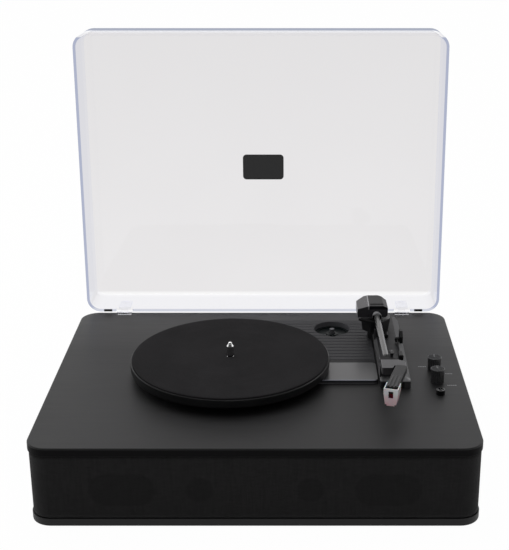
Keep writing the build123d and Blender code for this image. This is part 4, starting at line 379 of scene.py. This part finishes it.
def lined_socket(name, node, lining):
    """Gloss black moulding with a bright metal lining round its bore."""
    g = material_graph(name)
    centre = middle(node)
    axes = g.axes()
    dx = g.math("SUBTRACT", axes["X"], centre.x)
    dy = g.math("SUBTRACT", axes["Y"], centre.y)
    lined = g.below(length_across(g, dx, dy), lining + 0.1 * MM, 0.2 * MM)
    scuffs = g.noise(500, 4, 0.6)
    return g.end(g.coat({
        "Base Color": g.mix(lined, (0.006, 0.006, 0.0065), grey(0.4)),
        "Metallic": lined,
        "Roughness": g.span(scuffs, 0.1, 0.25, 0.3, 0.7),
        "Normal": g.bump(scuffs, 0.01 * MM, 0.4, 0.3 * MM),
    }))


def rubber(name, color):
    """Matt rubber with dust in its grain."""
    g = material_graph(name)
    fine = g.noise(700, 4, 0.7)
    return g.end(g.coat({
        "Roughness": 0.82,
        "Base Color": g.ramp(fine, color, scaled(color, 1.7), 0.4, 0.75),
        "Normal": g.bump(fine, 0.08 * MM, 0.6, 0.4 * MM),
    }))


def metal(name, color, rough=0.28, stretch=(400, 400, 12)):
    """Machined metal with fine lines along one direction and light tarnish."""
    g = material_graph(name)
    lines = g.noise(1.0, 4, 0.6, g.place(stretch))
    return g.end(g.coat({
        "Metallic": 1.0,
        "Base Color": g.ramp(g.noise(60, 4, 0.6), scaled(color, 0.85), color, 0.35, 0.65),
        "Roughness": g.span(lines, rough * 0.7, rough * 1.4, 0.3, 0.7),
        "Normal": g.bump(lines, 0.01 * MM, 0.4, 0.2 * MM),
    }))


# Tonearm lacquers

def painted(name, color, rough, fleck, metallic, edge_light=0.0):
    """Grey lacquer with a fine metallic fleck, lighter along its edges with painted highlights.
    """
    g = material_graph(name)
    flecks = g.noise(FLECK, 2, 0.5)
    tint = g.ramp(flecks, scaled(color, 1 - fleck), scaled(color, 1 + fleck), 0.35, 0.65)
    # Painted highlights along the edges, as strong as edge_light
    edge_glint = g.times(g.edges(0.8 * MM), edge_light)
    return g.end(g.coat({
        "Metallic": metallic,
        "Specular IOR Level": 0.5,
        "Base Color": g.mix(edge_glint, tint, scaled(color, 5)),
        "Roughness": g.span(g.noise(24, 3, 0.5), rough * 0.85, rough * 1.2, 0.3, 0.7),
        "Normal": g.bump(flecks, fleck * 0.036 * MM, 0.5, 0.4 * MM),
    }))


def arm_paint(name, node, tones):
    """Grey lacquer of an arm piece, with painted highlights along its edges; a function of its
    graph and box lays its tones and gloss.
    """
    g = material_graph(name)
    low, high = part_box(node)
    flecks = g.noise(FLECK, 2, 0.5)
    tint = g.ramp(flecks, (0.031, 0.030, 0.034), (0.040, 0.039, 0.043), 0.35, 0.65)
    # Painted highlights along the edges
    tint = g.mix(g.times(g.edges(0.8 * MM), 0.6), tint, (0.17, 0.17, 0.18))
    tint, shine = tones(g, tint, low, high)
    return g.end(g.coat({
        "Metallic": 0.2,
        "Base Color": tint,
        "Specular IOR Level": shine,
        "Roughness": g.span(g.noise(24, 3, 0.5), 0.26, 0.36, 0.3, 0.7),
        "Normal": g.bump(flecks, 0.005 * MM, 0.5, 0.4 * MM),
    }))


def housing_tones(g, tint, low, high):
    """Darker top beside the lighter left facet as painted shade, a painted highlight along the
    ridge between them, and painted shade filling the slot in black.
    """
    axes = g.axes()
    ridge = low.x + 12.6 * MM
    top = g.above(axes["Z"], high.z - 4.2 * MM, 0.4 * MM)
    # Painted shade on the top to the right of the ridge
    right = g.times(top, g.above(axes["X"], ridge, 0.5 * MM))
    # Painted highlight along the ridge between the left facet and the top
    line = g.times(top, g.between(axes["X"], ridge - 0.6 * MM, ridge + 0.5 * MM, 0.2 * MM))
    # Painted shade: the slot's hollow is filled near black
    across = g.between(axes["X"], ridge + 1.6 * MM, high.x - 4.0 * MM, 0.2 * MM)
    along = g.between(axes["Y"], low.y + 5.0 * MM, low.y + 8.2 * MM, 0.2 * MM)
    slot = g.times(top, across, along)
    tint = g.mix(right, tint, (0.007, 0.007, 0.008))
    tint = g.mix(line, tint, (0.30, 0.30, 0.31))
    shine = g.math("SUBTRACT", g.span(right, 0.35, 0.08), g.times(slot, 0.08), clamp=True)
    return g.mix(slot, tint, grey(0.006)), shine


def elbow_tones(g, tint, low, high):
    """Black clamp round the elbow's neck."""
    neck = g.above(g.axes()["Y"], high.y - 9.4 * MM, 0.6 * MM)
    return g.mix(neck, tint, grey(0.002)), g.span(neck, 0.5, 0.03)


def ring_tones(g, tint, low, high):
    """Light upper part as painted light, over a black lower part."""
    # Painted light on the ring's upper part, as lit from above
    upper = g.above(g.axes()["Z"], low.z + 7.0 * MM, 0.6 * MM)
    return g.mix(upper, grey(0.003), (0.30, 0.30, 0.31)), g.span(upper, 0.1, 0.4)


def headshell_tones(g, tint, low, high):
    """Darker lacquer, lighter and glossier on the tops of the ribs."""
    ribs = g.span(g.axes()["Z"], 0.0, 0.5, high.z - 0.5 * MM, high.z)
    plain = g.mix(g.noise(90, 3, 0.5), (0.020, 0.020, 0.021), (0.032, 0.032, 0.033))
    return g.mix(g.times(ribs, 0.5), plain, tint), g.span(ribs, 0.12, 0.22)


# Felt and speaker cloth

def felt(name, dark, light):
    """Pressed wool felt: short crossed fibres and a soft sheen."""
    g = material_graph(name)
    fibres = g.noise(1.0, 6, 0.7, g.place((1300, 420, 900)))
    across = g.noise(1.0, 6, 0.7, g.place((420, 1300, 900), (0, 0, 0.5)))
    weave = g.math("MAXIMUM", fibres, across)
    tone = g.blend((weave, 0.7), (g.noise(26, 4, 0.6), 0.3))
    return g.end(g.coat({
        "Roughness": 0.95,
        "Specular IOR Level": 0.08,
        "Sheen Weight": 0.04,
        "Sheen Roughness": 0.6,
        "Base Color": g.ramp(tone, dark, light, 0.42, 0.72),
        "Normal": g.bump(weave, 0.4 * MM, 0.7),
    }))


def capsule(g, vector, centre, length, height):
    """One inside an upright racetrack about a place, nought outside, with a soft edge."""
    axes = g.axes(vector)
    across = g.math("ABSOLUTE", g.math("SUBTRACT", axes["X"], centre.x))
    dx = g.math("MAXIMUM", g.math("SUBTRACT", across, (length - height) / 2), 0.0)
    dz = g.math("SUBTRACT", axes["Z"], centre.z)
    return g.below(length_across(g, dx, dz), height / 2 + 1.2 * MM, 2.4 * MM)


def driver_holes(g, vector):
    """One in front of the four drivers, a little outside or inside their outlines."""
    holes = 0.0
    for node, margin in (("woofer_cones", 0.6 * MM), ("tweeters", -5.0 * MM)):
        right = [p for p in corners(node) if p.x > 0]
        wide = [p.x for p in right]
        tall = [p.z for p in right]
        length = max(wide) - min(wide) + 2 * margin
        height = max(tall) - min(tall) + 2 * margin
        for side in (-1, 1):
            centre = Vector((side * (max(wide) + min(wide)), 0, max(tall) + min(tall))) / 2
            holes = g.math("MAXIMUM", capsule(g, vector, centre, length, height), holes)
    return holes


def grille(name):
    """Woven speaker cloth, with painted shade in front of the drivers, where nothing backs it."""
    g = material_graph(name)
    vector = g.place()
    inputs = {"Vector": vector, "Scale": 330.0, "Distortion": 1.6, "Detail": 2.0}
    warp, weft = [
        g.add("ShaderNodeTexWave", inputs, bands_direction=axis).outputs["Fac"] for axis in "XZ"
    ]
    weave = g.times(warp, weft)
    slub = g.noise(1.0, 4, 0.6, g.place((90, 90, 900)))
    threads = g.noise(1.0, 4, 0.6, g.place((900, 900, 60)))
    tone = g.blend((weave, 0.45), (slub, 0.3), (threads, 0.3))
    tint = g.ramp(tone, (0.0035, 0.0034, 0.0036), (0.026, 0.025, 0.026), 0.25, 0.75)
    # Painted shade in front of the drivers' openings
    hole_shade = g.times(driver_holes(g, vector), 0.5)
    return g.end(g.coat({
        "Roughness": 0.9,
        "Specular IOR Level": 0.2,
        "Sheen Weight": 0.08,
        "Base Color": g.mix(hole_shade, tint, (0.0032, 0.0031, 0.0033)),
        "Normal": g.bump(weave, 0.25 * MM, 0.8),
    }))


# Clear pieces

def acrylic(g, color, gloss, scratch, dulled=0.0):
    """Shader that lets light through in a colour and mirrors on the piece's outside."""
    through = g.add("ShaderNodeBsdfTransparent", {"Color": color}).outputs[0]
    scratches = g.noise(1.0, 2, 0.5, g.place(scratch, (0.3, 0.2, 0.4)))
    mirror = g.add("ShaderNodeBsdfGlossy", {
        "Color": (0.92, 0.94, 1), "Roughness": g.span(scratches, gloss, gloss * 2.5, 0.4, 0.8),
    }).outputs[0]
    fresnel = g.add("ShaderNodeFresnel", {"IOR": 1.3}).outputs[0]
    return g.either(g.times(fresnel, g.outside(), g.without(dulled)), through, mirror)


def cover_places(g):
    """Height and reach of a place on the cover, as it would lie shut."""
    axes = g.axes()
    upright, slant = math.sin(COVER_OPEN), math.cos(COVER_OPEN)
    height = g.blend((axes["Y"], upright), (axes["Z"], slant))
    reach = g.blend((axes["Z"], upright), (axes["Y"], -slant))
    return height, reach


def clear_cover(name, tint, edge, low_wall_light):
    """Clear cover: tinted with painted shade at its rim, where it is seen edge on and along its
    far upper edge, palest in its hinged wall as painted light, with a painted highlight along
    that wall's bend.
    """
    g = material_graph(name)
    facing = g.facing()
    height, reach = cover_places(g)
    rim_at, roof_at, back_at, front_at = cover_span()
    front_pale, far_edge_shade = (0.985, 0.985, 0.99), (0.30, 0.33, 0.42)
    front = g.above(reach, front_at - 5 * MM, 1 * MM)
    back = g.below(reach, back_at + 6 * MM, 3 * MM)
    rim = g.below(height, rim_at + 0.9 * MM, 0.8 * MM)
    rim = g.times(rim, g.without(front), g.span(back, 1.0, 0.55))
    steep = g.times(g.math("POWER", facing, 4.0), g.without(front), 0.22)
    grazed = g.times(g.math("POWER", facing, 2.0), 1.3, clamp=True)
    # Painted shade along the far upper edge, where it is grazed
    far = g.times(g.above(height, roof_at - 36 * MM, 8 * MM), front, grazed, g.outside())
    # Painted highlight along the bend between the hinged wall and the roof
    bend_highlight = g.times(g.between(height, roof_at - 7 * MM, roof_at - 2 * MM, 1 * MM),
                   g.between(reach, back_at + 2 * MM, back_at + 6 * MM, 1 * MM))
    color = g.ramp(g.noise(7, 3, 0.5), scaled(tint, 0.988), tint)
    color = g.mix(g.span(reach, 0.0, 0.7, back_at, front_at), color, scaled(tint, 0.95))
    # Painted light: the hinged wall is paler, standing in for its reflection
    color = g.mix(back, color, low_wall_light)
    color = g.mix(front, color, front_pale)
    # Painted shade at the rim's face and where a wall is seen edge on
    color = g.mix(g.math("MAXIMUM", steep, rim), color, edge)
    color = g.mix(far, color, far_edge_shade)
    color = g.mix(bend_highlight, color, WHITE)
    return g.end(acrylic(g, color, 0.02, (300, 20, 20), g.times(front, 0.8)))


def clear_small(name, tint, edge):
    """Clear moulding for the small hinge pieces, with painted shade where it is seen edge on."""
    g = material_graph(name)
    # Painted shade where a face is seen edge on
    steep = g.times(g.math("POWER", g.facing(), 4.0), 0.2)
    color = g.ramp(g.noise(40, 2, 0.5), scaled(tint, 0.99), tint)
    return g.end(acrylic(g, g.mix(steep, color, edge), 0.03, (60, 20, 20)))


def milky(name, white, pink, alpha):
    """Thin translucent moulding, white at its top and pink towards its lip."""
    g = material_graph(name)
    low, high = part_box("stylus_guard")
    drop = g.span(g.axes()["Z"], 1.0, 0.0, low.z + 2 * MM, high.z - 4 * MM)
    cloud = g.noise(260, 3, 0.5)
    share = g.times(drop, g.span(cloud, 0.6, 1.1, 0.3, 0.7), clamp=True)
    body = g.coat({
        "Roughness": 0.22,
        "Subsurface Weight": 0.25,
        "Subsurface Scale": 2 * MM,
        "Base Color": g.mix(share, white, pink),
        "Normal": g.bump(cloud, 0.03 * MM, 0.4, 0.4 * MM),
    })
    through = g.add("ShaderNodeBsdfTransparent", {"Color": (0.96, 0.90, 0.91)}).outputs[0]
    return g.end(g.either(alpha, through, body))


# One material for each slot of the record
SLOT_MATERIALS = {
    "case_plate": veneer("veneer_plate", (0.0065, 0.0064, 0.0068), (0.0165, 0.0162, 0.0170)),
    "case_side": veneer("veneer_side", (0.006, 0.006, 0.0063), (0.015, 0.0148, 0.0155)),
    "cloth": grille("speaker_cloth"),
    "felt": felt("felt_black", (0.0063, 0.0059, 0.0068), (0.0200, 0.0186, 0.0203)),
    "rubber_black": rubber("rubber_black", grey(0.010)),
    "steel": metal("steel_turned", (0.62, 0.62, 0.63)),
    "brass": metal("brass_turned", (0.65, 0.48, 0.24)),
    "speaker_black": plastic("speaker_cone", grey(0.014), 0.6, 0.1 * MM, None),
    "board_green": plastic("board_lacquer", (0.02, 0.09, 0.04), 0.35),
    "insert_grey": insert_plastic("insert_plastic", (0.040, 0.040, 0.043), (0.078, 0.078, 0.080)),
    "black_plastic": plastic("black_plastic", (0.008, 0.008, 0.0085), 0.38, specular=0.16),
    "gloss_black": polished("gloss_black", (0.006, 0.006, 0.0065)),
    "arm_grey": painted("arm_lacquer", (0.034, 0.033, 0.037), 0.3, 0.12, 0.35, 0.7),
    "cast_weight": metal("cast_weight", grey(0.25), 0.5, (300, 300, 300)),
    "chrome": metal("chrome", (0.80, 0.80, 0.81), 0.10),
    "stylus_red": polished("stylus_red", (0.16, 0.004, 0.010), 0.2 * MM, 0.2),
    "clear_guard": milky("guard_milky", (0.84, 0.85, 0.87), (0.85, 0.50, 0.55), 0.78),
    # Tint, the painted shade of the edges, and the pale painted light of the hinged wall
    "clear_cover": clear_cover(
        "clear_acrylic", (0.912, 0.905, 0.909), (0.50, 0.54, 0.68), (0.942, 0.938, 0.940)),
}

# Pieces that look unlike the rest of their slot
# The second colour is the painted shade of where the hinge pieces are seen edge on
CLEAR_HINGE = clear_small("clear_hinge", (0.965, 0.965, 0.975), (0.62, 0.66, 0.76))
KNOB_PLASTIC = knob_plastic("knob_plastic")
OWN_MATERIALS = {
    "hinge_blocks": CLEAR_HINGE,
    "hinge_leaves": CLEAR_HINGE,
    "volume_knob": KNOB_PLASTIC,
    "mode_knob": KNOB_PLASTIC,
    "headphone_jack": lined_socket("jack_lined", "headphone_jack", 2.6 * MM),
    "cover_plate": polished("badge_plastic", (0.005, 0.005, 0.0055), rough=0.14, specular=0.34),
    "record_adapter": plastic(
        "adapter_plastic", (0.004, 0.0065, 0.007), 0.4, 0.01 * MM, 0.3 * MM, 0.15),
    "spindle": metal("spindle_polished", grey(0.75), 0.12),
    # The last colour is the painted highlight on the base's front bevel
    "tonearm_base": base_plastic("base_plastic", (0.009, 0.009, 0.0098), (0.17, 0.17, 0.175)),
    "pivot_column": painted("column_lacquer", (0.010, 0.010, 0.011), 0.4, 0.1, 0.0, 0.8),
    "arm_tube": painted("tube_lacquer", (0.092, 0.092, 0.091), 0.24, 0.03, 0.5),
    # The collar is light grey; its colour is raised further as painted light on its front-facing
    # cone
    "arm_collar": painted("collar_lacquer", (0.32, 0.32, 0.33), 0.3, 0.05, 0.2, 0.3),
    "arm_housing": arm_paint("housing_lacquer", "arm_housing", housing_tones),
    "arm_elbow": arm_paint("elbow_lacquer", "arm_elbow", elbow_tones),
    "collar_ring": arm_paint("ring_lacquer", "collar_ring", ring_tones),
    "headshell": arm_paint("headshell_lacquer", "headshell", headshell_tones),
}

for part in frame["record"]["subparts"]:
    material = OWN_MATERIALS.get(part["node"], SLOT_MATERIALS[part["material_slot"]])
    NODES[part["node"]].data.materials.clear()
    NODES[part["node"]].data.materials.append(material)


# Pieces made here

def mesh_piece(name, verts, faces, material, body, smooth=True):
    """A new piece from points in metres, riding on a body."""
    mesh = bpy.data.meshes.new(name)
    mesh.from_pydata(verts, [], faces)
    mesh.validate()
    mesh.materials.append(material)
    for face in mesh.polygons:
        face.use_smooth = smooth
    piece = bpy.data.objects.new(name, mesh)
    bpy.context.scene.collection.objects.link(piece)
    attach(piece, body)
    return piece


def lathe(profile, centre, count):
    """Points and faces of a closed profile of radius and height, turned about an upright axis."""
    verts = []
    faces = []
    size = len(profile)
    for step in range(count):
        angle = 2 * math.pi * step / count
        x, y = math.cos(angle), math.sin(angle)
        verts += [(centre.x + r * x, centre.y + r * y, height) for r, height in profile]
        near = step * size
        far = (step + 1) % count * size
        for index in range(size):
            after = (index + 1) % size
            faces.append((near + index, far + index, far + after, near + after))
    return verts, faces


def mat_profile(low, high, radius, hole):
    """Felt mat cut through: flat below, rounded at the hole and the rim, slightly wavy on top."""
    lift = 0.02 * MM
    soft = 0.6 * MM
    sunk = 0.06 * MM
    dip = 0.05 * MM
    rings = 26
    profile = [(hole, low + lift), (hole, high - soft / 2)]
    for index in range(rings + 1):
        share = index / rings
        at_radius = hole + soft + (radius - hole - 3 * soft) * share
        wave = dip * math.sin(index * 1.7) * math.sin(math.pi * share)
        profile.append((at_radius, high - sunk + wave))
    return profile + [
        (radius - soft * 0.8, high - soft * 0.35),
        (radius - soft * 0.1, high - soft * 1.2),
        (radius, low + lift),
    ]


def make_mat():
    """Felt mat, laid on the platter round the spindle."""
    low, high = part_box("felt_mat")
    radius = (high.x - low.x) / 2
    hole = 4 * MM
    verts, faces = lathe(mat_profile(low.z, high.z, radius, hole), middle("felt_mat"), 160)
    mat = mesh_piece("felt_mat_cloth", verts, faces, SLOT_MATERIALS["felt"], "platter")
    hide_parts("felt_mat")


CLOTH_LOW, CLOTH_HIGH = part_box("grille_cloth")
CLOTH_THICKNESS = 0.8 * MM
CLOTH_CORNER = 19 * MM


def cloth_line(inset):
    """Plan of the cloth from the right end round the front to the left end."""
    half = CLOTH_HIGH.x - inset
    front = CLOTH_LOW.y + inset
    radius = CLOTH_CORNER - inset
    turn = 10
    straight = 90
    line = [(half, CLOTH_HIGH.y)]
    for index in range(turn + 1):
        angle = -math.pi / 2 * index / turn
        line.append((half - radius + radius * math.cos(angle),
                     front + radius + radius * math.sin(angle)))
    for index in range(1, straight):
        share = index / straight
        line.append((half - radius - 2 * (half - radius) * share, front))
    return line + [(-x, y) for x, y in reversed(line[:turn + 2])]


def cloth_points(outer, inner, rows, wave):
    """Points of the cloth's two sides, row by row from its foot, the outer one slightly wavy."""
    tall = CLOTH_HIGH.z - CLOTH_LOW.z
    heights = [CLOTH_LOW.z + tall * row / rows for row in range(rows + 1)]
    verts = []
    for row, z in enumerate(heights):
        for index, (x, y) in enumerate(outer):
            pull = wave * math.sin(index * 0.9 + row * 1.3) * math.sin(math.pi * row / rows)
            verts.append((x, y + abs(pull), z))
    for z in heights:
        verts += [(x, y, z) for x, y in inner]
    return verts


def cloth_faces(columns, rows):
    """Faces of the cloth's two sides and of the four edges between them."""
    back = (rows + 1) * columns
    faces = []
    for row in range(rows):
        for a in range(row * columns, (row + 1) * columns - 1):
            b = a + 1
            faces.append((a, a + columns, b + columns, b))
            faces.append((back + a, back + b, back + b + columns, back + a + columns))
    for index in range(columns - 1):
        top = rows * columns + index
        faces.append((index, index + 1, back + index + 1, back + index))
        faces.append((top, back + top, back + top + 1, top + 1))
    for left in range(0, rows * columns, columns):
        right = left + columns - 1
        faces.append((left, back + left, back + left + columns, left + columns))
        faces.append((right, right + columns, back + right + columns, back + right))
    return faces


def make_cloth():
    """Speaker cloth, stretched round the front of the case."""
    rows = 16
    skin = 0.02 * MM
    wave = 0.03 * MM
    outer = cloth_line(skin)
    verts = cloth_points(outer, cloth_line(CLOTH_THICKNESS - skin), rows, wave)
    faces = cloth_faces(len(outer), rows)
    cloth = mesh_piece(
        "grille_cloth_weave", verts, faces, SLOT_MATERIALS["cloth"], "case")
    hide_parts("grille_cloth")


# Printed marks beside the knobs, in mm from a knob: start and end across, and how far behind
MARKS = (
    ("volume_knob", -15.8, -7.4, 8.0),
    ("volume_knob", 10.3, 18.0, -9.6),
    ("mode_knob", 9.0, 18.8, -8.8),
)
MARK_STROKES = 5
MARK_DEPTH = 1.5 * MM
STROKE_SHARE = 0.62
PRINT_LIFT = 0.03 * MM


def make_marks():
    """Rows of short printed strokes, with no readable letters."""
    verts = []
    for node, start, end, behind in MARKS:
        knob = middle(node)
        pitch = (end - start) * MM / MARK_STROKES
        half_x = pitch * STROKE_SHARE / 2
        y = knob.y + behind * MM
        for index in range(MARK_STROKES):
            x = knob.x + start * MM + (index + 0.5) * pitch
            verts += [(x + across * half_x, y + along * MARK_DEPTH / 2, DECK + PRINT_LIFT)
                      for across, along in SQUARE]
    faces = [tuple(range(first, first + 4)) for first in range(0, len(verts), 4)]
    white = plastic("print_white", (0.30, 0.30, 0.31), 0.6, 0.01 * MM, None)
    mesh_piece("deck_print", verts, faces, white, "case", False)


# Studio

def make_floor():
    """Wide pale floor that glows where it is seen straight on, mirrored or through a piece."""
    reach = 12.0
    mesh = bpy.data.meshes.new("floor")
    mesh.from_pydata([(x * reach, y * reach, 0) for x, y in SQUARE], [], [(0, 1, 2, 3)])
    floor = bpy.data.objects.new("floor", mesh)
    bpy.context.scene.collection.objects.link(floor)
    g = material_graph("floor_white")
    lit = g.add("ShaderNodeBsdfDiffuse", {"Color": grey(0.9)}).outputs[0]
    glow = g.add("ShaderNodeEmission", {"Color": WHITE, "Strength": 1.0}).outputs[0]
    ray = g.add("ShaderNodeLightPath").outputs
    seen = g.math("MAXIMUM", ray["Is Camera Ray"], ray["Is Glossy Ray"])
    seen = g.math("MAXIMUM", seen, ray["Is Transmission Ray"])
    mesh.materials.append(g.end(g.either(g.times(seen, 0.985), lit, glow)))


def sky(g, strength):
    """White background of a strength."""
    return g.add("ShaderNodeBackground", {"Color": WHITE, "Strength": strength}).outputs[0]


def make_world():
    """White room: soft light, more from behind and the left, and a bright back to be mirrored."""
    world = bpy.data.worlds.new("studio")
    bpy.context.scene.world = world
    g = Graph(world)
    towards = g.axes(g.add("ShaderNodeTexCoord").outputs["Generated"])
    ray = g.add("ShaderNodeLightPath").outputs
    soft = g.span(towards["Y"], 0.30, 0.85, -0.6, 0.5)
    left = g.span(towards["X"], 1.3, 0.7, -0.7, 0.7)
    bright = g.span(towards["Y"], 0.08, 1.0, -0.5, 0.15)
    low = g.span(towards["Z"], 1.45, 1.0, 0.39, 0.47)
    around = sky(g, g.times(soft, left))
    mirrored = sky(g, g.times(bright, low))
    lit = g.either(ray["Is Glossy Ray"], around, mirrored)
    g.end(g.either(ray["Is Camera Ray"], lit, sky(g, 1.0)), "ShaderNodeOutputWorld")


def make_lamp(name, where, aim, size, power):
    """Soft square area lamp that points at a place."""
    data = bpy.data.lights.new(name, "AREA")
    data.shape = "SQUARE"
    data.size = size
    data.energy = power
    lamp = bpy.data.objects.new(name, data)
    lamp.location = where
    lamp.rotation_euler = (Vector(aim) - Vector(where)).to_track_quat("-Z", "Y").to_euler()
    bpy.context.scene.collection.objects.link(lamp)


# The photograph's frame and the camera fitted to it, in its pixels
PHOTO_WIDE, PHOTO_TALL = 509, 550
FOCAL = 1160.3
AIM_X, AIM_Y = 293.5, 278.6
CAMERA_DOWN = math.radians(20.294)
CAMERA_PLACE = Vector((35.34 * MM, CASE_Y - 1095.46 * MM, FOOT + 589.23 * MM))


def make_camera():
    """Camera at the photograph's place: tilted down, not turned, with an off-centre frame."""
    data = bpy.data.cameras.new("camera")
    data.sensor_width = 36.0
    data.lens = FOCAL * data.sensor_width / PHOTO_TALL
    data.shift_x = (PHOTO_WIDE / 2 - AIM_X) / PHOTO_TALL
    data.shift_y = (AIM_Y - PHOTO_TALL / 2) / PHOTO_TALL
    data.clip_start = 0.01
    data.clip_end = 100
    camera = bpy.data.objects.new("camera", data)
    camera.location = CAMERA_PLACE
    camera.rotation_euler = (math.pi / 2 - CAMERA_DOWN, 0, 0)
    bpy.context.scene.collection.objects.link(camera)
    bpy.context.scene.camera = camera


make_mat()
make_cloth()
make_marks()
make_floor()
make_world()
make_lamp("key_top", where=(-0.3, 0.5, 1.8), aim=(0.0, 0.0, 0.1), size=1.2, power=9)
make_camera()
bpy.context.scene.view_settings.view_transform = "Standard"
